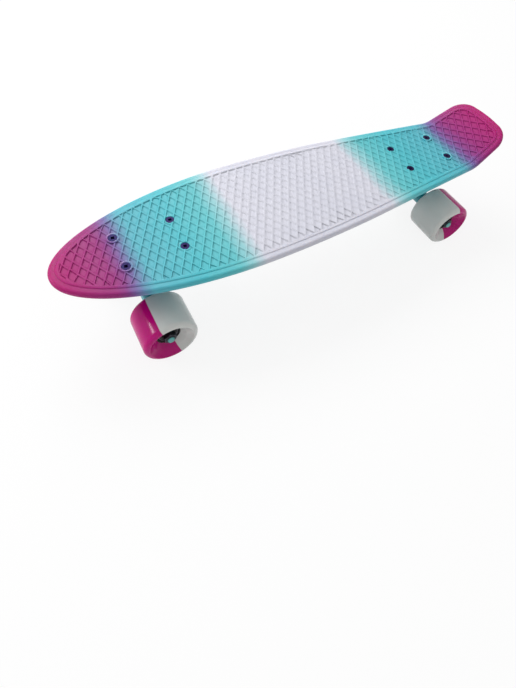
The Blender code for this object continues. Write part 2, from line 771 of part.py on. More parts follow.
def make_hanger():
    axle = axle_point()
    arm = axis_frame(axle, arm_direction())
    ring = kingpin_frame(0)
    across = across_frame(0)
    # The saddle runs from the ring to the barrel. Under the ring it is cut back from the bushing.
    lower_face = -RING_THICKNESS / 2
    saddle = hull("hanger", [
        disc(ring @ Matrix.Translation((0, 0, -SADDLE_LAP / 2)), RING_RADIUS, RING_THICKNESS + SADDLE_LAP),
        disc(across, BARREL_RADIUS - SADDLE_INSET, 2 * SADDLE_HALF_WIDTH)])
    room = BUSHING_RADIUS + BUSHING_ROOM
    clear = prism("clear", CUTTER_REACH, CUTTER_REACH, 4, lower_face - CUTTER_REACH)
    to_arm = Matrix.Translation((room - CUTTER_REACH / 2, 0, 0)) @ Matrix.Rotation(math.pi / 4, 4, "Z")
    in_frame(clear, ring @ to_arm)
    saddle = combine(saddle, [clear], "DIFFERENCE")
    half = HANGER_WIDTH / 2
    barrel = turned("barrel", [(0, half), (BARREL_END_RADIUS, half), (BARREL_RADIUS, BARREL_SHOULDER),
                               (BARREL_RADIUS, -BARREL_SHOULDER), (BARREL_END_RADIUS, -half), (0, -half)],
                    TURNED_SIDES, closed=False)
    in_frame(barrel, across)
    gusset_top = arm @ Matrix.Translation((0, 0, GUSSET_RISE)) @ Matrix.Rotation(-math.pi / 2, 4, "X")
    gusset = hull("gusset", [
        disc(gusset_top, GUSSET_RADIUS, 2 * GUSSET_RADIUS, SMALL_SIDES),
        disc(across, GUSSET_RADIUS, 2 * GUSSET_HALF_WIDTH, SMALL_SIDES)])
    reach = (pivot_point() - axle).length
    nose = [(PIVOT_RADIUS * math.cos(a), reach + PIVOT_RADIUS * math.sin(a))
            for a in (math.radians(55), 0)]
    arm_body = turned("arm", [(0, reach + PIVOT_RADIUS), *nose, (PIVOT_RADIUS, reach - CUP_MOUTH),
                              (ARM_ROOT_RADIUS, reach / 3), (ARM_ROOT_RADIUS, 0), (0, 0)],
                      TURNED_SIDES, closed=False)
    in_frame(arm_body, arm)
    hanger = combine(saddle, [barrel, gusset, arm_body], "UNION")
    bore = prism("ring_bore", 2 * RING_BORE_RADIUS, 4 * RING_THICKNESS, TURNED_SIDES, -2 * RING_THICKNESS)
    cuts = [in_frame(bore, ring)]
    seat_radius = BUSHING_RADIUS + GAP
    seat = RING_THICKNESS / 2 - RING_SEAT_DEPTH
    for low in (seat, -seat - RING_THICKNESS):
        cuts.append(in_frame(prism("ring_seat", 2 * seat_radius, RING_THICKNESS, TURNED_SIDES, low), ring))
    axle_bore = prism("axle_bore", 2 * (AXLE_RADIUS + GAP), 2 * HANGER_WIDTH, TURNED_SIDES, -HANGER_WIDTH)
    cuts.append(in_frame(axle_bore, across))
    hanger = combine(hanger, cuts, "DIFFERENCE")
    return baked(hanger)


# Axle and wheels, turned on their own axis, which lies across the board

def bearing_reach():
    # From the wheel's middle to the outer face of either bearing.
    return BEARING_SPACER / 2 + BEARING_WIDTH


def axle_half_length():
    return WHEEL_CENTRE + bearing_reach() + 2 * GAP + SPEED_WASHER_THICKNESS + AXLE_NUT_HEIGHT + AXLE_TIP


def make_axle():
    half = axle_half_length()
    chamfer = AXLE_RADIUS / 6
    profile = [(0, half), (AXLE_RADIUS - chamfer, half), (AXLE_RADIUS, half - chamfer),
               (AXLE_RADIUS, chamfer - half), (AXLE_RADIUS - chamfer, -half), (0, -half)]
    return turned_mesh("axle", profile, TURNED_SIDES, closed=False)


def make_wheel():
    # Half of the section, from the tread out over the edge and down the dish to the bearing seat.
    half = WHEEL_WIDTH / 2
    edge = arc_points((WHEEL_RADIUS - WHEEL_EDGE_RADIUS, half - WHEEL_EDGE_RADIUS), WHEEL_EDGE_RADIUS,
                      0, math.pi / 2, 2)
    seat = BEARING_RADIUS + GAP
    shoulder = BEARING_SPACER / 2 - GAP
    side = [*edge, (WHEEL_DISH_RADIUS, half - WHEEL_DISH_DROP), (seat, bearing_reach() + GAP),
            (seat, shoulder), (WHEEL_HUB_RADIUS, shoulder)]
    upper = list(reversed(side))
    lower = [(radius, -height) for radius, height in side]
    return turned_mesh("wheel", upper + lower, WHEEL_SIDES)


def make_bearing():
    # The outer ring with its two shields, which dish slightly toward the bore.
    half = BEARING_WIDTH / 2
    profile = [(BEARING_RADIUS, half), (BEARING_RADIUS, -half),
               (BEARING_BORE_RADIUS, SHIELD_DROP - half), (BEARING_BORE_RADIUS, half - SHIELD_DROP)]
    return turned_mesh("bearing", profile, TURNED_SIDES)


def make_sleeve():
    # The clamped inner races and spacer, with the inner speed washer at the hanger's end (downward).
    bore = AXLE_RADIUS + GAP
    reach = bearing_reach()
    washer = reach + SPEED_WASHER_THICKNESS
    profile = [(RACE_RADIUS, reach), (RACE_RADIUS, -reach), (SPEED_WASHER_RADIUS, -reach),
               (SPEED_WASHER_RADIUS, -washer), (bore, -washer), (bore, reach)]
    return turned_mesh("sleeve", profile, SMALL_SIDES)


def make_axle_nut():
    # The lock nut with its speed washer, outward along +Z from the bearing's face.
    bore = AXLE_RADIUS + GAP
    washer = prism("axle_nut", 2 * SPEED_WASHER_RADIUS, SPEED_WASHER_THICKNESS, SMALL_SIDES)
    overlap = SPEED_WASHER_THICKNESS / 2
    hexagon = prism("hexagon", AXLE_NUT_ACROSS, AXLE_NUT_HEIGHT + overlap, 6,
                    SPEED_WASHER_THICKNESS - overlap)
    nut = combine(washer, [hexagon], "UNION")
    hole = prism("nut_hole", 2 * bore, 3 * AXLE_NUT_HEIGHT, SMALL_SIDES, -AXLE_NUT_HEIGHT)
    return baked(combine(nut, [hole], "DIFFERENCE"))


def make_mount_bolt():
    top = head_top()
    cone_top = top - BOLT_HEAD_EDGE
    cone_bottom = cone_top - BOLT_HEAD_CONE
    end = top - BOLT_LENGTH
    profile = [(0, top), (BOLT_HEAD_RADIUS, top), (BOLT_HEAD_RADIUS, cone_top),
               (BOLT_SHANK_RADIUS, cone_bottom), (BOLT_SHANK_RADIUS, end), (0, end)]
    return turned_mesh("mount_bolt", profile, SMALL_SIDES, closed=False)


# Assembly

def place(name, mesh, material, collection, parent, frame):
    own = mesh.copy()
    own.name = name
    own.materials.clear()
    own.materials.append(material)
    item = bpy.data.objects.new(name, own)
    collection.objects.link(item)
    item.parent = parent
    item.matrix_local = frame
    return item


def make_empty(name, collection, parent, frame):
    empty = bpy.data.objects.new(name, None)
    empty.empty_display_size = 0.02
    collection.objects.link(empty)
    empty.parent = parent
    empty.matrix_local = frame
    return empty


def assemble_truck(end, collection, board, meshes, materials):
    # The rear truck is the front one turned round to face the tail.
    name = "front" if end > 0 else "rear"
    turn = Matrix.Rotation(0 if end > 0 else math.pi, 4, "Z")
    truck = make_empty(f"{name}_truck", collection, board, Matrix.Translation(truck_place(end)) @ turn)
    steering_frame = axis_frame(ring_point(), steer_axis())
    steering = make_empty(f"{name}_steering", collection, truck, steering_frame)

    def fixed(piece, mesh, material, frame):
        place(f"{name}_{piece}", meshes[mesh], materials[material], collection, truck, frame)

    def steered(piece, mesh, material, frame):
        own = steering_frame.inverted() @ frame
        place(f"{name}_{piece}", meshes[mesh], materials[material], collection, steering, own)

    ring_seat = RING_THICKNESS / 2 - RING_SEAT_DEPTH
    washer_up = board_stack_height() - GAP - WASHER_THICKNESS
    washer_down = road_stack_height() - GAP - WASHER_THICKNESS
    fixed("baseplate", "baseplate", "truck_paint", Matrix())
    fixed("pivot_cup", "pivot_cup", "cup_urethane", axis_frame(pivot_point(), arm_direction()))
    fixed("kingpin", "kingpin", "zinc_steel", kingpin_frame(0))
    fixed("kingpin_nut", "kingpin_nut", "zinc_steel", kingpin_frame(road_stack_height()))
    fixed("board_washer", "board_washer", "zinc_steel", kingpin_frame(-washer_up))
    fixed("board_bushing", "board_bushing", "bushing_urethane", kingpin_frame(-ring_seat - GAP))
    fixed("road_bushing", "road_bushing", "bushing_urethane", kingpin_frame(ring_seat + GAP) @ flipped())
    fixed("road_washer", "road_washer", "zinc_steel", kingpin_frame(washer_down) @ flipped())
    for number, (x, y) in enumerate(bolt_places(), 1):
        below_plate = -2 * GAP - PLATE_THICKNESS - MOUNT_NUT_HEIGHT
        fixed(f"mount_bolt_{number}", "mount_bolt", "dark_screw", Matrix.Translation((x, y, 0)))
        fixed(f"mount_nut_{number}", "mount_nut", "zinc_steel", Matrix.Translation((x, y, below_plate)))
    steered("hanger", "hanger", "truck_paint", Matrix())
    steered("axle", "axle", "axle_steel", across_frame(0))
    for side in (1, -1):
        hand = "left" if side * end > 0 else "right"
        middle = across_frame(side)
        nut_place = Matrix.Translation((0, 0, bearing_reach() + GAP))
        steered(f"{hand}_sleeve", "sleeve", "race_steel", middle)
        steered(f"{hand}_axle_nut", "axle_nut", "zinc_steel", middle @ nut_place)
        spin = make_empty(f"{name}_{hand}_spin", collection, steering, steering_frame.inverted() @ middle)
        half_step = Matrix.Rotation(math.pi / WHEEL_SIDES, 4, "Z")
        place(f"{name}_{hand}_wheel", meshes["wheel"], materials["wheel_urethane"], collection, spin,
              half_step)
        for layer, height in (("outer", 1), ("inner", -1)):
            shift = Matrix.Translation((0, 0, height * (BEARING_SPACER + BEARING_WIDTH) / 2))
            place(f"{name}_{hand}_{layer}_bearing", meshes["bearing"], materials["bearing_steel"],
                  collection, spin, shift)


def flipped():
    # Turns a piece upside down on its own axis.
    return Matrix.Rotation(math.pi, 4, "X")


def across_frame(side):
    # A frame on the axle with its Z along it: at the middle, or outward at one wheel's middle.
    turn = Matrix.Rotation(-math.pi / 2 if side >= 0 else math.pi / 2, 4, "X")
    return Matrix.Translation(axle_point() + Vector((0, side * WHEEL_CENTRE, 0))) @ turn


def make_materials():
    materials = {
        "deck_plastic": make_material("deck_plastic", TURQUOISE, 0.35),
        "truck_paint": make_material("truck_paint", (0.05, 0.36, 0.40, 1), 0.4),
        "zinc_steel": make_material("zinc_steel", (0.62, 0.62, 0.64, 1), 0.3, 1.0),
        "axle_steel": make_material("axle_steel", (0.55, 0.56, 0.58, 1), 0.25, 1.0),
        "bearing_steel": make_material("bearing_steel", (0.03, 0.03, 0.035, 1), 0.4, 0.3),
        "race_steel": make_material("race_steel", (0.70, 0.70, 0.72, 1), 0.2, 1.0),
        "dark_screw": make_material("dark_screw", (0.012, 0.010, 0.045, 1), 0.35),
        "cup_urethane": make_material("cup_urethane", (0.02, 0.02, 0.02, 1), 0.5),
        "bushing_urethane": make_material("bushing_urethane", (0.75, 0.75, 0.72, 1), 0.45),
        "wheel_urethane": make_material("wheel_urethane", (0.75, 0.75, 0.74, 1), 0.3),
    }
    fade_along_deck(materials["deck_plastic"], NOSE_LENGTH + WIDEST_STATION + TAIL_LENGTH)
    split_in_halves(materials["wheel_urethane"], MAGENTA)
    return materials


def make_meshes():
    return {
        "baseplate": make_baseplate(),
        "pivot_cup": make_pivot_cup(),
        "kingpin": make_kingpin(),
        "kingpin_nut": make_hex_nut("kingpin_nut", KINGPIN_NUT_ACROSS, KINGPIN_NUT_HEIGHT,
                                    KINGPIN_RADIUS + GAP, -KINGPIN_NUT_HEIGHT, TURNED_SIDES),
        "board_washer": make_cup_washer("board_washer", BUSHING_RADIUS),
        "road_washer": make_cup_washer("road_washer", ROAD_BUSHING_TIP_RADIUS),
        "board_bushing": make_bushing("board_bushing", BOARD_BUSHING_HEIGHT, BUSHING_RADIUS,
                                      BUSHING_RADIUS),
        "road_bushing": make_bushing("road_bushing", ROAD_BUSHING_HEIGHT, BUSHING_RADIUS,
                                     ROAD_BUSHING_TIP_RADIUS),
        "hanger": make_hanger(),
        "axle": make_axle(),
        "wheel": make_wheel(),
        "bearing": make_bearing(),
        "sleeve": make_sleeve(),
        "axle_nut": make_axle_nut(),
        "mount_bolt": make_mount_bolt(),
        "mount_nut": make_hex_nut("mount_nut", MOUNT_NUT_ACROSS, MOUNT_NUT_HEIGHT, BOLT_SHANK_RADIUS + GAP,
                                  0, SMALL_SIDES),
    }


def main():
    clear_scene()
    collection = make_collection("skateboard")
    materials = make_materials()
    deck_mesh = make_deck()
    meshes = make_meshes()
    # The board stands on its wheels, with the middle of its length over the origin.
    ends = [vert.co.x for vert in deck_mesh.vertices]
    axle_height = WHEEL_RADIUS * math.cos(math.pi / WHEEL_SIDES)
    lift = axle_height - (pad_height() - AXLE_DROP)
    middle = (min(ends) + max(ends)) / 2
    board = make_empty("board", collection, None, Matrix.Translation((-middle, 0, lift)))
    place("deck", deck_mesh, materials["deck_plastic"], collection, board, Matrix())
    for end in (1, -1):
        assemble_truck(end, collection, board, meshes, materials)
    bpy.context.view_layer.update()
    for item in collection.objects:
        if item.type == "EMPTY":
            where = item.matrix_world.translation
            along = item.matrix_world.to_3x3() @ Vector((0, 0, 1))
            print(item.name, [round(v, 5) for v in where], [round(v, 5) for v in along])


main()
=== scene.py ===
import math
import bpy
from mathutils import Matrix, Vector


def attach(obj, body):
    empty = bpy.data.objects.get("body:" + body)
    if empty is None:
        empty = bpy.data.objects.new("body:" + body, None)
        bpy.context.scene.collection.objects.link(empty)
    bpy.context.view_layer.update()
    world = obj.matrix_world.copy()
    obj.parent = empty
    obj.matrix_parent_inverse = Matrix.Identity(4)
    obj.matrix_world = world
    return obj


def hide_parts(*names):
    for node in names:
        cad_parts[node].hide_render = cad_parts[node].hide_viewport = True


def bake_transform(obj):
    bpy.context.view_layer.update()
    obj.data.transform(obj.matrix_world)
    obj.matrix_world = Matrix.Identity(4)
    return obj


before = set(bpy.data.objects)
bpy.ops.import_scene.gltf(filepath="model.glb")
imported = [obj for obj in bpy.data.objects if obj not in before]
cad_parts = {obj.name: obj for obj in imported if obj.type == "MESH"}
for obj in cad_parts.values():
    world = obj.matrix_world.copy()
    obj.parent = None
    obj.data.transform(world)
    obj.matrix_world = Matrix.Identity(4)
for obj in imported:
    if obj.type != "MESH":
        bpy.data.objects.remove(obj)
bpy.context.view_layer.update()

scene = bpy.context.scene
mm = 0.001
hairline = 0.001 * mm    # points nearer than this are one


# Handwork shared by all pieces

def clearSelection():
    if bpy.context.object and bpy.context.object.mode != "OBJECT":
        bpy.ops.object.mode_set(mode="OBJECT")
    bpy.ops.object.select_all(action="DESELECT")


def workOn(piece):
    clearSelection()
    piece.select_set(True)
    bpy.context.view_layer.objects.active = piece


def editMode(kind="FACE"):
    bpy.ops.object.mode_set(mode="EDIT")
    bpy.ops.mesh.select_mode(type=kind)


def objectMode():
    bpy.ops.object.mode_set(mode="OBJECT")


def selectAll():
    bpy.ops.mesh.select_all(action="SELECT")


def pick(piece, wanted, kind="FACE"):
    # leaves the piece in edit mode with the wanted faces, edges or points selected
    editMode(kind)
    bpy.ops.mesh.select_all(action="DESELECT")
    objectMode()
    parts = {"FACE": piece.data.polygons, "EDGE": piece.data.edges, "VERT": piece.data.vertices}[kind]
    for part in parts:
        if wanted(part):
            part.select = True
    editMode(kind)


def named(name):
    # the primitive that was just added
    bpy.context.object.name = name
    return bpy.context.object


def settle(piece, place=None):
    # the piece's place goes into its mesh
    if place is not None:
        piece.matrix_world = place
    workOn(piece)
    bpy.ops.object.transform_apply(location=True, rotation=True, scale=True)
    return piece


def addModifier(piece, kind, **settings):
    workOn(piece)
    modifier = piece.modifiers.new(kind.lower(), kind)
    for setting, value in settings.items():
        setattr(modifier, setting, value)
    bpy.ops.object.modifier_apply(modifier=modifier.name)
    return piece


def joined(pieces):
    clearSelection()
    for piece in pieces:
        piece.select_set(True)
    bpy.context.view_layer.objects.active = pieces[0]
    bpy.ops.object.join()
    return pieces[0]


def combine(piece, tools, operation, overlapping=False):
    tool = joined(tools)
    addModifier(piece, "BOOLEAN", object=tool, operation=operation, solver="EXACT", use_self=overlapping)
    bpy.data.objects.remove(tool, do_unlink=True)
    return piece


def tidyMesh(piece):
    # doubles merged, then all faces outward
    workOn(piece)
    editMode()
    selectAll()
    bpy.ops.mesh.remove_doubles(threshold=2 * hairline)
    bpy.ops.mesh.normals_make_consistent(inside=False)
    objectMode()
    return piece


def smooth(piece, degrees):
    workOn(piece)
    bpy.ops.object.shade_smooth_by_angle(angle=math.radians(degrees))
    return piece


def lathe(name, points, sides=48, closed=False):
    # points are (radius, height) in mm, extruded one after another and spun about Z
    clearSelection()
    bpy.ops.mesh.primitive_plane_add(size=mm)
    piece = named(name)
    editMode("VERT")
    selectAll()
    bpy.ops.mesh.merge(type="CENTER")
    way = [Vector((radius * mm, 0, height * mm)) for radius, height in points]
    if closed:
        way.append(way[0])
    bpy.ops.transform.translate(value=way[0])
    for before, after in zip(way, way[1:]):
        bpy.ops.mesh.extrude_region_move(TRANSFORM_OT_translate={"value": after - before})
    selectAll()
    bpy.ops.mesh.spin(steps=sides, angle=math.tau, center=(0, 0, 0), axis=(0, 0, 1))
    objectMode()
    return tidyMesh(piece)


def mirrored(points):
    # a profile and its mirror image, for a piece with two like ends
    return points + [(radius, -height) for radius, height in reversed(points)]


def drum(name, radius, low, high, sides=48):
    # a cylinder from one height to another, in mm
    clearSelection()
    bpy.ops.mesh.primitive_cylinder_add(vertices=sides, radius=radius * mm, depth=(high - low) * mm,
                                        location=(0, 0, (low + high) / 2 * mm))
    return settle(named(name))


def brick(name, low, high):
    # a block between two corners, in mm
    clearSelection()
    middle = [(a + b) / 2 * mm for a, b in zip(low, high)]
    bpy.ops.mesh.primitive_cube_add(size=1, location=middle, scale=[(b - a) * mm for a, b in zip(low, high)])
    return settle(named(name))


def skinOver(name, pieces):
    # one convex body stretched over several
    piece = joined(pieces)
    piece.name = name
    editMode()
    selectAll()
    bpy.ops.mesh.convex_hull()
    objectMode()
    return tidyMesh(piece)


def copyTo(piece, name, place):
    twin = piece.copy()
    twin.data = piece.data.copy()
    twin.name = twin.data.name = name
    scene.collection.objects.link(twin)
    return settle(twin, place)


def shift(x=0, y=0, z=0):
    return Matrix.Translation((x * mm, y * mm, z * mm))


def axisFrame(origin, along):
    # Z along the given direction, Y kept across the board
    up = Vector(along).normalized()
    across = Vector((0, 1, 0))
    forward = across.cross(up)
    turn = Matrix((forward, across, up)).transposed().to_4x4()
    return Matrix.Translation(origin) @ turn


def arcPoints(centre, radius, start, end, count):
    turns = [math.radians(start + (end - start) * step / count) for step in range(count + 1)]
    return [(centre[0] + radius * math.cos(turn), centre[1] + radius * math.sin(turn)) for turn in turns]


# Paint and finish

class Wire:
    # a socket that Python sums can be written with
    def __init__(self, paint, socket):
        self.paint, self.socket = paint, socket

    def sum(self, operation, first, second=None):
        return self.paint.add("Math", {"operation": operation}, {0: first, 1: second})

    def __add__(self, other):
        return self.sum("ADD", self, other)

    def __sub__(self, other):
        return self.sum("SUBTRACT", self, other)

    def __rsub__(self, other):
        return self.sum("SUBTRACT", other, self)

    def __mul__(self, other):
        return self.sum("MULTIPLY", self, other)

    def __truediv__(self, other):
        return self.sum("DIVIDE", self, other)

    def __abs__(self):
        return self.sum("ABSOLUTE", self)

    __radd__ = __add__
    __rmul__ = __mul__


class Paint:
    # the nodes of a new material, or of another kind of data that has them
    def __init__(self, name, kind="materials"):
        self.owner = getattr(bpy.data, kind).new(name)
        self.owner.use_nodes = True
        self.tree = self.owner.node_tree

    def fill(self, node, values):
        for socket, value in values.items():
            if isinstance(value, Wire):
                self.tree.links.new(value.socket, node.inputs[socket])
            elif value is not None:
                node.inputs[socket].default_value = value

    def add(self, kind, settings=None, values=None, output=0):
        node = self.tree.nodes.new("ShaderNode" + kind)
        for setting, value in (settings or {}).items():
            if setting == "stops":
                self.setRamp(node, value)
            else:
                setattr(node, setting, value)
        self.fill(node, values or {})
        return Wire(self, node.outputs[output])

    def setRamp(self, node, stops):
        marks = node.color_ramp.elements
        while len(marks) < len(stops):
            marks.new(0.5)
        for mark, (place, colour) in zip(marks, stops):
            mark.position, mark.color = place, (*colour, 1)

    def where(self):
        return self.add("TexCoord", output="Object")

    def noise(self, scale, detail, roughness, spot, stretch=None):
        if stretch:
            spot = self.add("Mapping", {"vector_type": "POINT"}, {"Vector": spot, "Scale": stretch})
        return self.add("TexNoise", {}, {"Vector": spot, "Scale": scale, "Detail": detail,
                                         "Roughness": roughness})

    def ramp(self, value, stops):
        return self.add("ValToRGB", {"stops": stops}, {0: value})

    def spread(self, value, low, high, start, end):
        # takes the run from start to end to the one from low to high, held at its ends
        return self.add("MapRange", {"clamp": True}, {0: value, 1: start, 2: end, 3: low, 4: high})

    def mix(self, share, first, second, blend="MIX"):
        first, second = (end if isinstance(end, Wire) else (*end, 1) for end in (first, second))
        return self.add("Mix", {"data_type": "RGBA", "blend_type": blend}, {0: share, 6: first, 7: second}, 2)

    def patchy(self, code, patch, share, start, end, tone, lift=0.0):
        # a colour that goes this share of the way to another tone of itself where the patch is strong
        base = coloured(code)
        return self.mix(self.spread(patch, 0, share, start, end), base, [part * tone + lift for part in base])

    def bump(self, height, distance, strength, after=None):
        return self.add("Bump", {}, {"Height": height, "Distance": distance, "Strength": strength,
                                     "Normal": after})

    def finish(self, **values):
        shader = self.tree.nodes["Principled BSDF"]
        self.fill(shader, {socket.replace("_", " "): value for socket, value in values.items()})
        return self.owner


def coloured(hexCode):
    # a colour as seen on screen, taken to the linear one the shader wants
    parts = [part / 255 for part in bytes.fromhex(hexCode)]
    return [part / 12.92 if part <= 0.04045 else ((part + 0.055) / 1.055) ** 2.4 for part in parts]


def dress(piece, *materials):
    # clearing the slots also forgets which face has which, so that is put back
    slots = [face.material_index for face in piece.data.polygons]
    piece.data.materials.clear()
    for material in materials:
        piece.data.materials.append(material)
    piece.data.polygons.foreach_set("material_index", slots)
    return piece


def mount(piece, body, node):
    # without a body the piece is attached to none
    if body:
        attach(piece, body)
    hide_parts(node)
    return piece


# Where things are, in metres

boardOrigin = Vector((0.00592, 0, 0.09722))
truckOrigins = {"front": Vector((0.18815, 0, 0.08553)), "rear": Vector((-0.17632, 0, 0.08553))}
trucks = {"front": 1, "rear": -1}

steer = {"tilt": math.radians(25), "axle": (11.1, 0, -55.9), "kingpinToAxle": 19.5, "axleBelowRing": 20.0,
         "pivot": 46.0, "wheelMiddle": 58.8, "headSeat": 28.6, "boardStack": 20.1, "roadStack": 16.0}


def truckFrame(name):
    turn = Matrix.Rotation(0 if name == "front" else math.pi, 4, "Z")
    return Matrix.Translation(truckOrigins[name]) @ turn


steerAxis = Vector((math.cos(steer["tilt"]), 0, math.sin(steer["tilt"])))
kingpinDown = Vector((math.sin(steer["tilt"]), 0, -math.cos(steer["tilt"])))
axlePoint = Vector(steer["axle"]) * mm
ringPoint = axlePoint - (steerAxis * steer["kingpinToAxle"] + kingpinDown * steer["axleBelowRing"]) * mm
pivotPoint = ringPoint + steerAxis * steer["pivot"] * mm
armWay = (pivotPoint - axlePoint).normalized()


def kingpinFrame(down):
    # on the kingpin this many mm below the middle of the hanger's ring, Z up along the pin
    return axisFrame(ringPoint + kingpinDown * down * mm, -kingpinDown)


def axleFrame(side=0):
    # on the axle at its middle, or at a wheel's middle with Z outward
    turn = Matrix.Rotation(math.radians(-90 if side >= 0 else 90), 4, "X")
    return Matrix.Translation(axlePoint + Vector((0, side * steer["wheelMiddle"] * mm, 0))) @ turn


def handOf(truck, side):
    return "left" if side * trucks[truck] > 0 else "right"


# Deck

deckValues = {
    "width": 148.4, "widest": 66.4, "noseLength": 216.6, "sideCurve": 1417, "taper": 6.2,
    "tailLength": 299.6, "tailCorner": 26, "tailBow": 1.2,
    "camber": 7600, "noseRiseStart": 211, "noseRise": 3200, "kickStart": 231.3, "kickRadius": 22,
    "kickAngle": 31.98, "concave": 3200,
    "rimThickness": 9.5, "topRound": 3.4, "bottomRound": 5.6, "plateauInset": 7.2, "plateauRise": 0.8,
    "fieldInset": 10.4, "lipWidth": 8.5, "lipDraft": 1.2, "web": 6.2,
    # how many steps or slices give each curve its shape
    "noseSteps": 52, "sideSteps": 64, "cornerSteps": 14, "bowShares": (0.85, 0.7, 0.5, 0.3, 0.15, 0),
    "roundSteps": 7, "kickSlices": 6, "underSlice": 7, "underLanes": (-48, -24, 0, 24, 48), "ribSlice": 10,
    # steps are (inset, rise or fall) in mm
    "groove": ((0.1, 0.12), (0.5, 0.56), (0.25, 0.12)),
    "cellLength": 10.28, "cellWidth": 17.6, "cornerMerge": 1.9, "smallestPocket": 2.0, "smallestDent": 1.4,
    "pocketSteps": ((0.50, 0), (0.16, 0.10), (0.66, 0.95), (0.30, 0.20)),
    "dentSteps": ((0.50, 0), (0.12, 0.08), (0.40, 0.62), (0.16, 0.10)),
    "plate": (84, 57, 8), "padMargin": 1, "bossRadius": 6.5, "boltPattern": (62.0, 40.3),
    "ribLanes": (-26, 0, 26), "ribWidth": 5, "ribRound": 0.7, "ribDepth": 2.6, "ribReach": 135.2,
    "hole": 2.7, "headHole": 4.75,
}


def halfWidth(station):
    v = deckValues
    half = v["width"] / 2
    if station > v["widest"]:
        share = min((station - v["widest"]) / v["noseLength"], 1)
        return half * math.sqrt(1 - share * share)
    taper = math.radians(v["taper"])
    back = v["widest"] - station
    curved = v["sideCurve"] * math.sin(taper)
    arc = min(back, curved)
    drop = v["sideCurve"] - math.sqrt(v["sideCurve"] ** 2 - arc ** 2)
    return half - drop - max(back - curved, 0) * math.tan(taper)


def sideView(station):
    # X, Z and slope of the deck at a station along it
    v = deckValues
    kick = v["kickRadius"] * math.radians(v["kickAngle"])
    runs = ((v["noseRiseStart"], -1 / v["camber"]), (math.inf, 1 / v["noseRise"]))
    if station < 0:
        runs = ((v["kickStart"], -1 / v["camber"]), (kick, 1 / v["kickRadius"]), (math.inf, 0))
    x = z = slope = 0.0
    left = abs(station)
    for length, curvature in runs:
        run = min(left, length)
        ahead = slope + run * curvature
        x += (math.sin(ahead) - math.sin(slope)) / curvature if curvature else run * math.cos(slope)
        z += (math.cos(slope) - math.cos(ahead)) / curvature if curvature else run * math.sin(slope)
        slope = ahead
        left -= run
        if left <= 0:
            break
    return (x, z, slope) if station >= 0 else (-x, z, -slope)


def bent(point):
    # takes a point of the flat deck to the curved one
    x, z, slope = sideView(point.x / mm)
    dish = (point.y / mm) ** 2 / 2 / deckValues["concave"]
    normal = Vector((-math.sin(slope), 0, math.cos(slope)))
    return Vector((x * mm, point.y, z * mm)) + normal * (point.z + dish * mm)


def deckOutline():
    # the edge from the nose tip along the left side to the tail's middle, then back
    v = deckValues
    count = v["noseSteps"]
    noseRun = [v["widest"] + v["noseLength"] * math.cos(math.pi / 2 * step / count) for step in range(count)]
    end = -v["tailLength"] + v["tailBow"]
    middle = end + v["tailCorner"]
    count = v["sideSteps"]
    sideRun = [v["widest"] + (middle - v["widest"]) * step / count for step in range(count)]
    side = [(station, halfWidth(station)) for station in noseRun + sideRun]
    centre = (middle, halfWidth(middle) - v["tailCorner"] / math.cos(math.radians(v["taper"])))
    corner = arcPoints(centre, v["tailCorner"], 90 + v["taper"], 180, v["cornerSteps"])
    half = corner[-1][1]
    bow = [(end - v["tailBow"] * (1 - share ** 2), half * share) for share in v["bowShares"]]
    left = side + corner + bow
    return left + [(station, -across) for station, across in reversed(left[1:-1])]


def insetBy(thickness, rise, single=False, even=True):
    bpy.ops.mesh.inset(thickness=thickness * mm, depth=rise * mm, use_individual=single, use_even_offset=even)


def roundRim(radius):
    # a quarter round in steps that are steep at first
    count = deckValues["roundSteps"]
    angles = [math.radians(90 * step / count) for step in range(count + 1)]
    points = [(radius * (1 - math.cos(angle)), radius * math.sin(angle)) for angle in angles]
    for before, after in zip(points, points[1:]):
        insetBy(after[0] - before[0], after[1] - before[1])


def slicePlane(place, normal):
    # crossing edges where a plane meets the faces that show, its place in mm
    selectAll()
    bpy.ops.mesh.bisect(plane_co=[part * mm for part in place], plane_no=normal, threshold=hairline)


def finishFaces(piece, part):
    piece.active_material_index = part
    bpy.ops.object.material_slot_assign()


def bend(piece):
    # from the flat deck to the curved one
    for point in piece.data.vertices:
        point.co = bent(point.co)


def deckBlank():
    v = deckValues
    outline = deckOutline()
    clearSelection()
    straight = v["rimThickness"] - v["topRound"] - v["bottomRound"]
    bpy.ops.mesh.primitive_cylinder_add(vertices=len(outline), radius=0.1, depth=straight * mm,
                                        location=(0, 0, (-v["topRound"] - straight / 2) * mm))
    deck = settle(named("deckShell"))
    for part in deckColours["parts"]:
        deck.data.materials.append(None)
    for point in deck.data.vertices:
        turn = math.atan2(point.co.y, point.co.x) % math.tau
        station, across = outline[round(turn / math.tau * len(outline)) % len(outline)]
        point.co.x, point.co.y = station * mm, across * mm
    pick(deck, lambda face: face.normal.z > 0.9)
    roundRim(v["topRound"])
    insetBy(v["plateauInset"] - v["topRound"], 0)
    for inset, rise in v["groove"]:
        insetBy(inset, rise)
    insetBy(v["fieldInset"] - v["plateauInset"] - sum(inset for inset, rise in v["groove"]), 0)
    finishFaces(deck, 1)
    objectMode()
    pick(deck, lambda face: face.normal.z < -0.9)
    roundRim(v["bottomRound"])
    insetBy(v["lipWidth"] - v["bottomRound"], 0)
    insetBy(v["lipDraft"], v["web"] - v["rimThickness"] - v["plateauRise"])
    objectMode()
    return deck


def hideAllBut(deck, wanted):
    pick(deck, wanted)
    bpy.ops.mesh.hide(unselected=True)


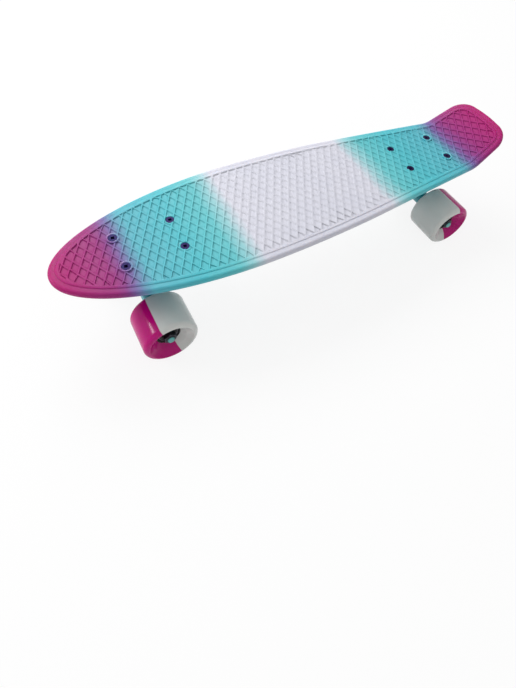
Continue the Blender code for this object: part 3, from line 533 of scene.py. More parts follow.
def cutWaffle(deck):
    v = deckValues
    top = max(face.area for face in deck.data.polygons if face.normal.z > 0.9)
    hideAllBut(deck, lambda face: face.normal.z > 0.9 and face.area > 0.99 * top)
    reach = math.ceil(v["width"] / v["cellWidth"] + (v["noseLength"] + v["tailLength"]) / v["cellLength"])
    for side in (1, -1):
        across = Vector((1 / v["cellLength"], side / v["cellWidth"], 0)).normalized()
        for line in range(-reach, reach + 1):
            slicePlane(((line + 0.5) * v["cellLength"], 0, 0), across)
    selectAll()
    bpy.ops.mesh.remove_doubles(threshold=v["cornerMerge"] * mm)
    objectMode()
    whole = v["cellLength"] * v["cellWidth"] / 2 * mm * mm
    points = deck.data.vertices

    def sidesOf(face):
        corners = [points[index].co for index in face.vertices]
        return [after - before for before, after in zip(corners, corners[1:] + corners[:1])]

    def roomy(face, least):
        # about the radius of the largest circle in the cell, in mm
        return 2 * face.area / sum(side.length for side in sidesOf(face)) / mm > least

    def holds(face, steps):
        # no side of the cell is so short that its ends would pass each other on the way in
        deep = sum(inset for inset, fall in v[steps]) * mm
        sides = sidesOf(face)
        halves = [(math.pi - last.angle(side)) / 2 for last, side in zip(sides[-1:] + sides[:-1], sides)]
        shares = [math.cos(a) + math.cos(b) for a, b in zip(halves, halves[1:] + halves[:1])]
        return all(deep * share < 0.97 * side.length for share, side in zip(shares, sides))

    # whole cells first, then the cut ones that are large enough for a pocket, then those for a dent
    kinds = (
        (lambda face: face.area > 0.985 * whole, "pocketSteps", True),
        (lambda face: roomy(face, v["smallestPocket"]) and holds(face, "pocketSteps"), "pocketSteps", False),
        (lambda face: roomy(face, v["smallestDent"]) and holds(face, "dentSteps"), "dentSteps", False),
    )
    for suits, steps, even in kinds:
        pick(deck, lambda face: not face.hide and suits(face))
        # floors and walls take their own paint: painted shade in the pockets, and in the white a painted
        # highlight on the walls
        for (inset, fall), part in zip(v[steps], (2, 3, 3, 2)):
            # each inset leaves the inner face selected, so a face keeps the last part it is given
            insetBy(inset, -fall, single=True, even=even)
            finishFaces(deck, part)
        bpy.ops.mesh.hide(unselected=False)
        objectMode()
    editMode()
    bpy.ops.mesh.reveal(select=False)
    objectMode()


def sliceKick():
    # crossing edges through the whole deck where the kick bends
    v = deckValues
    arc = v["kickRadius"] * math.radians(v["kickAngle"])
    editMode()
    for step in range(v["kickSlices"] + 1):
        slicePlane((-(v["kickStart"] + arc * step / v["kickSlices"]), 0, 0), (1, 0, 0))
    objectMode()


def sliceUnderside(deck):
    v = deckValues
    bottom = max(face.area for face in deck.data.polygons if face.normal.z < -0.9)
    hideAllBut(deck, lambda face: face.normal.z < -0.9 and face.area > 0.99 * bottom)
    for station in range(-290, 284, v["underSlice"]):
        slicePlane((station, 0, 0), (1, 0, 0))
    for across in v["underLanes"]:
        slicePlane((0, across, 0), (0, 1, 0))
    bpy.ops.mesh.reveal(select=False)
    objectMode()


def roundedSlab(name, length, width, corner, low, high):
    # a plate with rounded corners between two heights, in mm
    slab = brick(name, (-length / 2, -width / 2, low), (length / 2, width / 2, high))

    def upright(side):
        bottom, top = sorted(slab.data.vertices[index].co.z for index in side.vertices)
        return top - bottom > 0.3 * (high - low) * mm

    pick(slab, upright, "EDGE")
    bpy.ops.mesh.bevel(offset=corner * mm, segments=8, affect="EDGES")
    objectMode()
    return slab


def boltSpots():
    length, width = deckValues["boltPattern"]
    return [(x * length / 2, y * width / 2) for x in (1, -1) for y in (1, -1)]


def deckRib(lane):
    v = deckValues
    top = v["plateauRise"] - v["web"] / 2
    low = v["plateauRise"] - v["web"] - v["ribDepth"]
    half = v["ribWidth"] / 2
    rib = brick("rib", (-v["ribReach"], lane - half, low), (v["ribReach"], lane + half, top))
    pick(rib, lambda face: face.normal.z < -0.9)
    bpy.ops.mesh.bevel(offset=v["ribRound"] * mm, segments=2, affect="EDGES")
    for station in range(-130, 131, v["ribSlice"]):
        slicePlane((station, 0, 0), (1, 0, 0))
    objectMode()
    bend(rib)
    return rib


def makeDeck():
    v = deckValues
    deck = deckBlank()
    cutWaffle(deck)
    sliceUnderside(deck)
    sliceKick()
    bend(deck)
    pads, bosses, holes = [], [], []
    base = v["plateauRise"] + v["rimThickness"]
    inside = base - v["web"] / 2
    length, width, corner = v["plate"]
    margin = v["padMargin"]
    wide, narrow = v["headHole"], v["hole"]
    holeShape = [(0, base + 4), (wide + 0.25, base + 4), (wide + 0.25, base), (wide, base - 0.3),
                 (wide, base - 0.8), (narrow, base - 3), (narrow, -4), (0, -4)]
    for name in trucks:
        place = Matrix.Translation(-boardOrigin) @ truckFrame(name)
        pad = roundedSlab("pad", length + 2 * margin, width + 2 * margin, corner + margin, 0, inside)
        pads.append(settle(pad, place))
        for x, y in boltSpots():
            spot = place @ shift(x, y)
            bosses.append(settle(drum("boss", v["bossRadius"], inside, base, 40), spot))
            holes.append(settle(lathe("hole", holeShape, 40), spot))
    for added in ([deckRib(lane) for lane in v["ribLanes"]], pads, bosses):
        combine(deck, added, "UNION")
    combine(deck, holes, "DIFFERENCE")
    deck.name = deck.data.name = "deckShell"
    settle(deck, Matrix.Translation(boardOrigin))
    return smooth(deck, 32)


deckColours = {
    "colours": {"magenta": "b10c68", "plum": "972a77", "violet": "863f86", "iris": "7866a0", "blue": "668fae",
                "teal": "5bb1bf", "turquoise": "52b8c2", "aqua": "66bfc4", "foam": "98cacf"},
    # where each colour lies along the deck, in mm from its middle
    "bands": ((-300, "magenta"), (-256, "plum"), (-246, "violet"), (-237, "iris"), (-228, "blue"),
              (-217, "teal"), (-160, "turquoise"), (-120, "aqua"), (-104, "foam"), (-88, "white"),
              (82, "white"), (97, "foam"), (112, "aqua"), (150, "turquoise"), (196, "teal"), (206, "blue"),
              (214, "iris"), (222, "violet"), (232, "plum"), (300, "magenta")),
    # each part's share of those colours, how many mm nearer the middle its bands lie, its white, and how much
    # of its light comes from under the surface. The floors' and walls' lower shares are painted shade in the
    # pockets. In the white, the ribs are painted darker and the walls lighter: painted shade and painted
    # highlight that cancel the light and shade of the lattice's relief
    "parts": {"rim": (1.0, 0, "ceced8", 0.8), "ribs": (1.0, 0, "c8c8d2", 0), "floors": (0.96, 2, "ceced8", 0),
              "walls": (0.82, 2, "dcdce6", 0)},
    "low": -300, "high": 300, "wander": 0.010, "drift": 0.006, "gloss": 0.2, "depth": 0.004,
    # the relief is softened by this share in the white, whose middle and fading edge lie here, in mm
    "softWhite": 0.92, "whiteMiddle": 3, "whiteFade": (82, 122),
}


def bandStops(part):
    # the bands of colour on one part of the deck, as a ramp's stops
    v = deckColours
    share, nearer, white, inside = v["parts"][part]
    stops = []
    for place, name in v["bands"]:
        shade = coloured(white) if name == "white" else [share * c for c in coloured(v["colours"][name])]
        place -= math.copysign(nearer, place)
        stops.append(((place - v["low"]) / (v["high"] - v["low"]), shade))
    return stops


def deckPlastic(part):
    v = deckColours
    paint = Paint("deck" + part.capitalize())
    spot = paint.where()
    along = paint.add("SeparateXYZ", {}, {0: spot}) - boardOrigin.x
    wander = paint.noise(14, 2, 0.5, spot) - 0.5
    drift = paint.noise(160, 3, 0.6, spot) - 0.5
    run = v["high"] - v["low"]
    share = (along + wander * v["wander"] + drift * v["drift"] - v["low"] * mm) / (run * mm)
    cloud = paint.spread(paint.noise(45, 3, 0.55, spot), 0, 0.3, 0.35, 0.75)
    colour = paint.mix(cloud, paint.ramp(share, bandStops(part)), (0.86, 0.88, 0.92), "MULTIPLY")
    grain = paint.noise(2600, 2, 0.6, spot)
    flow = paint.noise(60, 3, 0.5, spot)
    rough = paint.spread(flow, 0.34, 0.46, 0.3, 0.7) + grain * 0.05
    skin = paint.bump(flow, 0.0004, 0.25, paint.bump(grain, 0.00002, 0.35))
    if part != "rim":
        # light travels furthest inside the white plastic, which softens the relief of its lattice
        near, far = (edge * mm for edge in v["whiteFade"])
        soft = paint.spread(abs(along + v["whiteMiddle"] * mm), v["softWhite"], 0, near, far)
        skin = paint.add("VectorMath", {"operation": "NORMALIZE"}, {0: paint.mix(soft, skin, (0, 0, 1))})
    return paint.finish(Base_Color=colour, Roughness=rough, Normal=skin, IOR=1.45,
                        Specular_IOR_Level=v["gloss"], Subsurface_Weight=v["parts"][part][3],
                        Subsurface_Radius=(1.0, 0.9, 0.85), Subsurface_Scale=v["depth"])


print("deck")
deck = dress(makeDeck(), *(deckPlastic(part) for part in deckColours["parts"]))
mount(deck, "board", "deck")


# Wheels and bearings, turned about their own axis

wheelValues = {
    "radius": 29.6, "half": 23.5, "corner": 5.4, "lip": ((23.95, 23.38), (23.5, 23.0), (23.2, 22.4)),
    "dish": ((17.9, 18.95), (17.5, 18.5), (13.0, 12.75), (12.4, 12.4), (11.5, 12.4), (11.3, 12.2)),
    "seat": (11.3, 4.7), "hub": 9.0, "sides": 96,
    # the near-black and its radius paint the shade deep in the dish round the bearing, where the wheel is
    # urethane throughout
    "magenta": "bb0577", "white": "d3d5d2", "dishShade": "060607", "dishShadeRadius": 13.2, "wobble": 0.5,
    "gloss": 0.18,
    # the line between the colours on each wheel: its angle from the nose upward, how far it passes the axle
    # in mm, and which side of it is magenta
    "splits": {"front_left": (68, 0, 1), "rear_left": (95, 2.6, -1), "front_right": (112, 0, 1),
               "rear_right": (60, -1, -1)},
}


def makeWheel():
    v = wheelValues
    inner = v["radius"] - v["corner"]
    crown = arcPoints((inner, v["half"] - v["corner"]), v["corner"], 0, 90, 8)
    seatRadius, seat = v["seat"]
    shape = crown + list(v["lip"] + v["dish"])
    shape += [(seatRadius, seat), (v["hub"] + 0.3, seat), (v["hub"], seat - 0.3)]
    wheel = lathe("wheel", mirrored(shape), v["sides"], closed=True)
    # faces near the axle take the second slot, a near-black that is painted shade in the deep dish round the
    # bearing
    for face in wheel.data.polygons:
        face.material_index = int(math.hypot(face.center.x, face.center.y) < v["dishShadeRadius"] * mm)
    return smooth(wheel, 35)


def wheelUrethane(name):
    v = wheelValues
    angle, past, side = v["splits"][name]
    truck, hand = name.split("_")
    centre = truckFrame(truck) @ axleFrame(1 if hand == handOf(truck, 1) else -1).translation
    paint = Paint(name + "_urethane")
    spot = paint.where()
    place = paint.add("VectorMath", {"operation": "SUBTRACT"}, {0: spot, 1: centre})
    turn = math.radians(angle)
    across = (side * math.sin(turn), 0, -side * math.cos(turn))
    reach = paint.add("VectorMath", {"operation": "DOT_PRODUCT"}, {0: place, 1: across}, output=1)
    wave = paint.noise(90, 2, 0.4, spot) - 0.5
    edge = reach + wave * v["wobble"] * mm + past * mm * side
    half = paint.spread(edge, 0, 1, -0.25 * mm, 0.25 * mm)
    cloud = paint.noise(60, 3, 0.6, spot)
    pale = paint.patchy(v["white"], cloud, 0.25, 0.4, 0.7, 0.86)
    deep = paint.patchy(v["magenta"], cloud, 0.3, 0.4, 0.7, 0.8)
    grain = paint.noise(900, 3, 0.6, spot)
    rough = paint.spread(cloud, 0.12, 0.19, 0.3, 0.7) + grain * 0.04
    skin = paint.bump(grain, 0.00001, 0.4, paint.bump(cloud, 0.0003, 0.12))
    return paint.finish(Base_Color=paint.mix(half, pale, deep), Roughness=rough, Normal=skin, IOR=1.5,
                        Specular_IOR_Level=v["gloss"], Subsurface_Weight=0.35,
                        Subsurface_Radius=(1.0, 0.8, 0.8), Subsurface_Scale=0.002)


bearingValues = {
    "rings": ((11.0, 3.1), (10.6, 3.5), (9.55, 3.5), (9.3, 3.3), (9.3, 3.05)),
    "shield": ((9.25, 3.1), (8.9, 3.2), (8.4, 2.95), (7.3, 2.95), (6.95, 3.1), (6.7, 3.0)),
    # the steel is darkened far below bare bearing steel, painted shade on a bearing that sits deep in the
    # wheel's dish
    "shadedSteel": "4a4c51", "rubber": "060608", "middles": 8.5, "sides": 64,
}


def makeBearing():
    v = bearingValues
    bearing = smooth(lathe("bearing", mirrored(list(v["rings"] + v["shield"])), v["sides"], closed=True), 35)
    rubber = v["shield"][0][0] * mm + 0.00002
    for face in bearing.data.polygons:
        face.material_index = int(math.hypot(face.center.x, face.center.y) < rubber)
    return bearing


def turnedSteel(name, code, low, high, wear=0.2):
    # bare turned or plated steel, with fine tool marks round the piece and patches of handling
    paint = Paint(name)
    spot = paint.where()
    patch = paint.noise(130, 4, 0.6, spot)
    fine = paint.noise(2200, 2, 0.5, spot, (1, 6, 1))
    colour = paint.patchy(code, patch, wear, 0.35, 0.75, 0.55)
    rough = paint.spread(patch, low, high, 0.3, 0.7) + fine * 0.06
    return paint.finish(Base_Color=colour, Roughness=rough, Metallic=1.0,
                        Normal=paint.bump(fine, 0.00001, 0.35))


def softRubber(name, code, low, high, gloss=0.5):
    # moulded rubber or urethane: a faint bloom and a fine skin
    paint = Paint(name)
    spot = paint.where()
    bloom = paint.noise(160, 4, 0.6, spot)
    skin = paint.noise(1800, 3, 0.6, spot)
    colour = paint.patchy(code, bloom, 0.5, 0.35, 0.7, 0.85, 0.03)
    return paint.finish(Base_Color=colour, Roughness=paint.spread(bloom, low, high, 0.3, 0.7) + skin * 0.05,
                        Normal=paint.bump(skin, 0.00003, 0.4), IOR=1.5, Specular_IOR_Level=gloss)


sleeveValues = {
    "bore": 4.3, "race": 6.0, "spacer": 5.5, "reach": 12.0, "middle": 5.0, "washer": (6.5, 13.0), "sides": 48,
}


def makeSleeve():
    # two inner races with the spacer between them, and the speed washer on the hanger's side
    v = sleeveValues
    race, reach, middle = v["race"], v["reach"], v["middle"]
    rim, end = v["washer"]
    points = [(v["bore"] + 0.3, reach), (race - 0.25, reach), (race, reach - 0.25), (race, middle + 0.2),
              (race - 0.2, middle), (v["spacer"], middle), (v["spacer"], -middle), (race - 0.2, -middle),
              (race, -middle - 0.2), (race, -reach), (rim - 0.15, -reach), (rim, -reach - 0.15),
              (rim, 0.15 - end), (rim - 0.15, -end), (v["bore"], -end), (v["bore"], reach - 0.3)]
    return smooth(lathe("sleeve", points, v["sides"], closed=True), 35)


# Nuts, bolts and pins

fastenerValues = {
    "axleRadius": 4.0, "axleHalf": 79.5, "axleThread": (68.5, 1.05, 0.28),
    "axleNut": (12.7, 1.0, 7.0, 4.15), "axleNutPlace": 12.3, "speedWasher": 6.5,
    "kingpinRadius": 4.75, "kingpinHead": (14.3, 28.9, 34.6), "kingpinEnd": -25.0,
    "kingpinThread": (11.0, 1.4, 0.35), "kingpinNut": (14.3, -7.5, 0.0, 4.95),
    "boltTop": 10.0, "boltHead": 4.5, "boltShank": 2.4, "boltEnd": -15.4, "boltThread": (-3.0, 0.8, 0.24),
    "recess": (1.75, 2.2, 2.7, 0.62, 35), "mountNut": (9.5, -12.4, -6.6, 2.55),
    # the axle nut's zinc is darkened to near-black, painted shade for a nut that sits in the wheel's dish
    "zinc": "8d9096", "nutShadeZinc": "3c3e44", "axleSteel": "5a9492", "raceSteel": "77797e", "screw": "120838",
    "nylon": "1b1c20",
}


def threadRun(radius, start, end, pitch, depth):
    # the crests and roots of a thread between two heights, start above end
    turns = max(int(abs(start - end) / pitch), 1)
    step = (end - start) / turns
    points = []
    for turn in range(turns):
        crest = start + step * turn
        points += [(radius, crest + step * 0.12), (radius - depth, crest + step * 0.5),
                   (radius, crest + step * 0.88)]
    return points


def hexBody(name, across, low, high, chamfers=(True, True)):
    # a hexagon between two heights with its corners turned off to a cone at its ends
    corner = across / 2 / math.cos(math.pi / 6)
    flat = across / 2 * 0.985
    drop = (corner - flat) * math.tan(math.radians(30))
    bottom, top = (drop if cut else 0.0 for cut in chamfers)
    lowEnd, highEnd = (flat if cut else corner + 1 for cut in chamfers)
    body = drum(name, corner, low, high, 6)
    cone = lathe("cone", [(0, low - 0.01), (lowEnd, low - 0.01), (corner + 0.02, low + bottom),
                          (corner + 0.02, high - top), (highEnd, high + 0.01), (0, high + 0.01)], 64)
    return combine(body, [cone], "INTERSECT")


def makeNut(name, across, low, high, bore, washer=None, nylonUp=True):
    # a lock nut: chamfered hexagon, a turned-in crown and the nylon ring in it
    out = 1 if nylonUp else -1
    face = high if nylonUp else low
    brim = face - out * 0.16 * (high - low)
    crown = across / 2 * 0.80
    body = hexBody(name, across, *((low, brim) if nylonUp else (brim, high)))
    top = [(0, brim - out * 0.5), (crown + 0.4, brim - out * 0.5), (crown + 0.4, brim),
           (crown, brim + out * 0.25), (crown, face - out * 0.3), (crown - 0.3, face), (0, face)]
    added = [lathe("crown", top, 64)]
    if washer:
        added.append(lathe("washer", [(0, 0), (washer - 0.15, 0), (washer, 0.15), (washer, low - 0.1),
                                      (washer - 0.15, low + 0.05), (0, low + 0.05)], 64))
    combine(body, added, "UNION", overlapping=True)
    deep = face - out * 0.55
    mouth = [(0, deep), (crown - 1.0, deep), (crown - 0.55, face + out), (0, face + out)]
    drill = [drum("drill", bore, low - 3, high + 3, 40), lathe("mouth", mouth, 64)]
    combine(body, drill, "DIFFERENCE", overlapping=True)
    ring = lathe("nylon", [(bore, face - out * 1.2), (crown - 1.0, face - out * 1.2), (crown - 1.0, deep),
                           (crown - 1.15, face - out * 0.4), (bore + 0.25, face - out * 0.4),
                           (bore, face - out * 0.6)], closed=True)
    for side in ring.data.polygons:
        side.material_index = 1
    for part in (body, ring):
        smooth(part, 30)
        for slot in range(2):
            part.data.materials.append(None)
    return joined([body, ring])


def makeAxle():
    v = fastenerValues
    radius, half = v["axleRadius"], v["axleHalf"]
    start, pitch, depth = v["axleThread"]
    shape = [(0, half), (radius - 0.8, half), (radius - 0.15, half - 0.65)]
    shape += threadRun(radius, half - 0.8, start, pitch, depth) + [(radius, start - 0.3)]
    return smooth(lathe("axle", mirrored(shape), 40), 35)


def makeKingpin():
    v = fastenerValues
    across, low, high = v["kingpinHead"]
    radius, end = v["kingpinRadius"], v["kingpinEnd"]
    start, pitch, depth = v["kingpinThread"]
    pin = hexBody("kingpin", across, low, high, (False, True))
    shank = [(0, high - 2), (radius, high - 2), (radius, low), (radius, -start)]
    shank += threadRun(radius, -start, end + 1.0, pitch, depth) + [(radius - 1.1, end), (0, end)]
    combine(pin, [lathe("shank", shank, 48)], "UNION")
    return smooth(pin, 30)


def makeMountBolt():
    v = fastenerValues
    top, head, shank, end = v["boltTop"], v["boltHead"], v["boltShank"], v["boltEnd"]
    start, pitch, depth = v["boltThread"]
    points = [(0, top), (head - 0.15, top), (head, top - 0.12), (head, top - 0.5), (shank, top - 2.7),
              (shank, start)]
    points += threadRun(shank, start, end + 0.6, pitch, depth) + [(shank - 0.6, end), (0, end)]
    bolt = lathe("mountBolt", points, 40)
    # a cross recess: a tapered well and two tapered blades through it
    well, deep, reach, half, turned = v["recess"]
    cutters = [lathe("well", [(0, top + 0.6), (well + 0.2, top + 0.6), (well, top), (well * 0.4, top - deep),
                              (0, top - deep)], 24)]
    for turn in (turned, turned + 90):
        blade = brick("blade", (-reach, -half, top - deep * 0.75), (reach, half, top + 0.6))
        pick(blade, lambda face: face.normal.z < -0.9)
        bpy.ops.transform.resize(value=(0.45, 0.7, 1))
        objectMode()
        cutters.append(settle(blade, Matrix.Rotation(math.radians(turn), 4, "Z")))
    combine(bolt, cutters, "DIFFERENCE", overlapping=True)
    return smooth(bolt, 30)


# Bushings, washers and cups

softValues = {
    "bore": 5.05, "boreMouth": 6.2, "bushing": 11.5, "tip": 8.8, "boardHeight": 15.1, "roadHeight": 11.0,
    "waist": 0.8, "waistSteps": 9,
    # a bushing's ends stay with the washer and the ring for this many mm, and what is between them gives
    "heldEnd": 2.2,
    "washer": 1.6, "skirt": 1.6, "skirtWall": 1.0,
    "pivot": 6.0, "play": 0.5, "cupWall": 2.0, "cupChamfer": 3.5, "cupMouth": 3.0, "flare": 0.8,
    "bushingColour": "d9d8d2", "cupColour": "17181a", "sides": 56,
}


def makeBushing(name, height, tip):
    # the wide end at the bottom goes in the hanger's ring, and there the bore leaves room to swing
    v = softValues
    wide, bore, mouth = v["bushing"], v["bore"], v["boreMouth"]
    points = [(bore + 0.4, height), (tip - 0.8, height), (tip - 0.25, height - 0.25), (tip, height - 0.8)]
    for step in range(1, v["waistSteps"]):
        share = step / v["waistSteps"]
        waist = v["waist"] * math.sin(math.pi * share)
        points.append((tip + (wide - tip) * share - waist, (height - 0.8) + (1.6 - height) * share))
    points += [(wide, 0.8), (wide - 0.25, 0.25), (wide - 0.8, 0), (mouth + 0.4, 0), (mouth, 0.4),
               (mouth, height / 2), (bore, height - v["heldEnd"]), (bore, height - 0.4)]
    return smooth(lathe(name, points, v["sides"], closed=True), 40)


def makeCupWasher(name, end):
    v = softValues
    inner, thick, skirt = end + 0.3, v["washer"], v["skirt"]
    outer = inner + v["skirtWall"]
    points = [(v["bore"], thick), (outer - 1.2, thick), (outer - 0.5, thick - 0.2),
              (outer - 0.08, thick - 0.8), (outer, 0.2), (outer, -skirt), (outer - 0.3, -skirt),
              (inner + 0.15, -skirt + 0.3), (inner, -0.5), (inner - 0.5, 0), (v["bore"], 0)]
    return smooth(lathe(name, points, v["sides"], closed=True), 35)


def makePivotCup():
    v = softValues
    inner = v["pivot"] + v["play"]
    outer = inner + v["cupWall"]
    socket = arcPoints((0, 0), inner, 0, 90, 8)
    mouth, chamfer = -v["cupMouth"], v["cupChamfer"]
    points = [(0, outer), (outer - chamfer, outer), (outer, outer - chamfer), (outer, mouth + 0.3),
              (outer - 0.3, mouth), (inner + v["flare"], mouth)] + socket[:-1] + [(0, inner)]
    return smooth(lathe("pivotCup", points, v["sides"]), 35)


# Cast truck parts

castValues = {
    # a boss is its radius, then half the width and the length of its foot; the ring is its radius, thickness,
    # bore and seat depth; the barrel is its end and middle radius, then where it narrows and where it ends
    "voxel": 0.7, "soften": 9, "plateThickness": 6.0, "gap": 0.3,
    "kingpinBoss": (14.5, 13.5, 34.0), "pivotBoss": (13.0, 13.5, 28.0), "endMargin": 1.0, "bossSlab": 3.0,
    "ring": (14.5, 9.0, 8.5, 2.0), "barrel": (7.0, 8.8, 30.0, 45.5), "saddle": 20.0,
    "gusset": (34.0, 4.5, 19.0), "armRoot": 8.5, "bushingRoom": 1.5, "washerRoom": 2.2, "spotFace": 6.4,
    "paint": "2a9ba6",
}


def cast(piece):
    # the joined blocks get the soft corners and fillets of a casting
    v = castValues
    addModifier(piece, "REMESH", mode="VOXEL", voxel_size=v["voxel"] * mm)
    addModifier(piece, "SMOOTH", factor=0.5, iterations=v["soften"])
    return piece


def diskAt(radius, height, frameThere, sides=48):
    return settle(drum("disk", radius, -height / 2, height / 2, sides), frameThere)


def makeHanger():
    v = castValues
    radius, thick, bore, seat = v["ring"]
    end, wide, shoulder, half = v["barrel"]
    saddle = skinOver("hanger", [diskAt(radius, thick + 1, kingpinFrame(0) @ shift(z=-0.5)),
                                 diskAt(wide * 0.9, 2 * v["saddle"], axleFrame())])
    # the saddle is cut back above the road-side bushing
    room = softValues["bushing"] + v["bushingRoom"]
    clear = brick("clear", (room - 60, -30, -thick / 2 - 60), (room, 30, -thick / 2))
    combine(saddle, [settle(clear, kingpinFrame(0))], "DIFFERENCE")
    barrel = lathe("barrel", mirrored([(0, half), (end, half), (end, half - 2), (end + 0.3, half - 2.4),
                                       (wide, shoulder)]), 56)
    gussetReach, gussetRadius, rise = v["gusset"]
    top = Matrix.Translation(axlePoint + armWay * rise * mm) @ Matrix.Rotation(math.radians(-90), 4, "X")
    gusset = skinOver("gusset", [diskAt(gussetRadius, 2 * gussetRadius, top),
                                 diskAt(gussetRadius, 2 * gussetReach, axleFrame())])
    reach = (pivotPoint - axlePoint).length / mm
    pivot = softValues["pivot"]
    nose = arcPoints((0, reach), pivot, 90, 0, 8)
    arm = lathe("arm", nose + [(pivot, reach - 3), (v["armRoot"], reach / 3), (v["armRoot"], 0), (0, 0)])
    parts = [settle(barrel, axleFrame()), gusset, settle(arm, axisFrame(axlePoint, armWay))]
    combine(saddle, parts, "UNION", overlapping=True)
    cast(saddle)
    cuts = [diskAt(bore, 4 * thick, kingpinFrame(0), 64)]
    seatMiddle = thick - seat
    for middle in (seatMiddle, -seatMiddle):
        cuts.append(diskAt(softValues["bushing"] + v["gap"], thick, kingpinFrame(-middle), 64))
    cuts.append(diskAt(sleeveValues["bore"], 4 * half, axleFrame(), 40))
    combine(saddle, cuts, "DIFFERENCE", overlapping=True)
    # the barrel's ends are faced off where the speed washers run
    facing = [settle(drum("facing", 12, low, high), axleFrame())
              for low, high in ((half - 0.05, half + 6), (-half - 6, 0.05 - half))]
    combine(saddle, facing, "DIFFERENCE")
    return smooth(saddle, 38)


def makeBaseplate():
    v = castValues
    length, width, corner = deckValues["plate"]
    gap, thick, slab = v["gap"], v["plateThickness"], v["bossSlab"]
    plate = roundedSlab("baseplate", length, width, corner, -gap - thick, -gap)
    seat = kingpinFrame(-steer["boardStack"])
    cup = axisFrame(pivotPoint, armWay)
    low, high = -gap - 0.7 * thick, -gap - 0.3 * thick
    inner, outer = -length / 2 + v["endMargin"], length / 2 - v["endMargin"]
    radius, foot, reach = v["kingpinBoss"]
    pinBoss = skinOver("pinBoss", [diskAt(radius, slab, seat @ shift(z=slab / 2)),
                                   brick("foot", (inner, -foot, low), (inner + reach, foot, high))])
    radius, foot, reach = v["pivotBoss"]
    cupBoss = skinOver("cupBoss", [diskAt(radius, 2 * slab, cup @ shift(z=slab - softValues["cupMouth"])),
                                   brick("foot", (outer - reach, -foot, low), (outer, foot, high))])
    combine(plate, [pinBoss, cupBoss], "UNION", overlapping=True)
    cast(plate)
    # the machined faces and holes: top, kingpin, washer seat, pocket for the kingpin's head, pivot cup, bolts
    cuts = [settle(brick("top", (-60, -40, -gap), (60, 40, 5))),
            diskAt(softValues["bore"], 30, seat @ shift(z=11)),
            settle(drum("seat", softValues["bushing"] + v["washerRoom"], -6, 0), seat)]
    headHole = fastenerValues["kingpinHead"][0] / 2 / math.cos(math.pi / 6) + gap
    head = kingpinFrame(-steer["headSeat"] - 3)
    opening = Matrix.Translation((head.translation.x, 0, gap * mm))
    cuts.append(skinOver("pocket", [diskAt(headHole, 6.6, head), diskAt(headHole, 4 * gap, opening)]))
    room = softValues["pivot"] + softValues["play"] + softValues["cupWall"] + gap
    edge = room - softValues["cupChamfer"]
    cupHole = lathe("cupHole", [(0, room), (edge, room), (room, edge), (room, -6), (0, -6)], 56)
    cuts.append(settle(cupHole, cup))
    under = -gap - thick
    for x, y in boltSpots():
        cuts.append(settle(drum("boltHole", deckValues["hole"], -20, 10, 32), shift(x, y)))
        cuts.append(settle(drum("spotFace", v["spotFace"], under - 6, under + 0.02, 40), shift(x, y)))
    combine(plate, cuts, "DIFFERENCE", overlapping=True)
    return smooth(plate, 38)


def castPaint():
    paint = Paint("castPaint")
    spot = paint.where()
    peel = paint.noise(700, 3, 0.55, spot)
    cloud = paint.noise(70, 3, 0.5, spot)
    pits = paint.noise(1500, 2, 0.5, spot)
    colour = paint.patchy(castValues["paint"], cloud, 0.35, 0.35, 0.7, 0.72)
    rough = paint.spread(cloud, 0.30, 0.42, 0.3, 0.7) + peel * 0.05
    skin = paint.bump(pits, 0.00003, 0.4, paint.bump(peel, 0.00008, 0.35))
    return paint.finish(Base_Color=colour, Roughness=rough, Normal=skin, Coat_Weight=0.25,
                        Coat_Roughness=0.15, IOR=1.5)


def darkScrew():
    paint = Paint("darkScrew")
    patch = paint.noise(240, 4, 0.6, paint.where())
    colour = paint.patchy(fastenerValues["screw"], patch, 0.5, 0.4, 0.75, 1.8, 0.01)
    return paint.finish(Base_Color=colour, Roughness=paint.spread(patch, 0.28, 0.42, 0.3, 0.7), Metallic=0.5,
                        Specular_IOR_Level=0.15, Normal=paint.bump(patch, 0.00003, 0.4))


print("wheels")
wheel, bearing, sleeve = makeWheel(), makeBearing(), makeSleeve()
# the bearing's rings are painted dark: painted shade for the bearing in the wheel's dish
shadedBearingSteel = turnedSteel("shadedBearingSteel", bearingValues["shadedSteel"], 0.14, 0.26)
sealRubber = softRubber("sealRubber", bearingValues["rubber"], 0.38, 0.5, 0.25)
raceSteel = turnedSteel("raceSteel", fastenerValues["raceSteel"], 0.16, 0.28)
zincSteel = turnedSteel("zincSteel", fastenerValues["zinc"], 0.24, 0.42, 0.35)
# the axle nut's near-black zinc is painted shade
shadedNutZinc = turnedSteel("shadedNutZinc", fastenerValues["nutShadeZinc"], 0.3, 0.45, 0.35)
axleSteel = turnedSteel("axleSteel", fastenerValues["axleSteel"], 0.2, 0.34, 0.3)
# a near-black for the dish round the bearing: painted shade, not a part of the wheel
dishShadeBlack = softRubber("dishShadeBlack", wheelValues["dishShade"], 0.4, 0.55, 0.2)
lockNylon = softRubber("lockNylon", fastenerValues["nylon"], 0.4, 0.55)
dress(bearing, shadedBearingSteel, sealRubber)
dress(sleeve, raceSteel)

print("nuts and bolts")
axleNut = makeNut("axleNut", *fastenerValues["axleNut"], fastenerValues["speedWasher"])
kingpinNut = makeNut("kingpinNut", *fastenerValues["kingpinNut"], nylonUp=False)
mountNut = makeNut("mountNut", *fastenerValues["mountNut"], nylonUp=False)
for nut, finish in ((axleNut, shadedNutZinc), (kingpinNut, zincSteel), (mountNut, zincSteel)):
    dress(nut, finish, lockNylon)
axle = dress(makeAxle(), axleSteel)
kingpin = dress(makeKingpin(), zincSteel)
mountBolt = dress(makeMountBolt(), darkScrew())

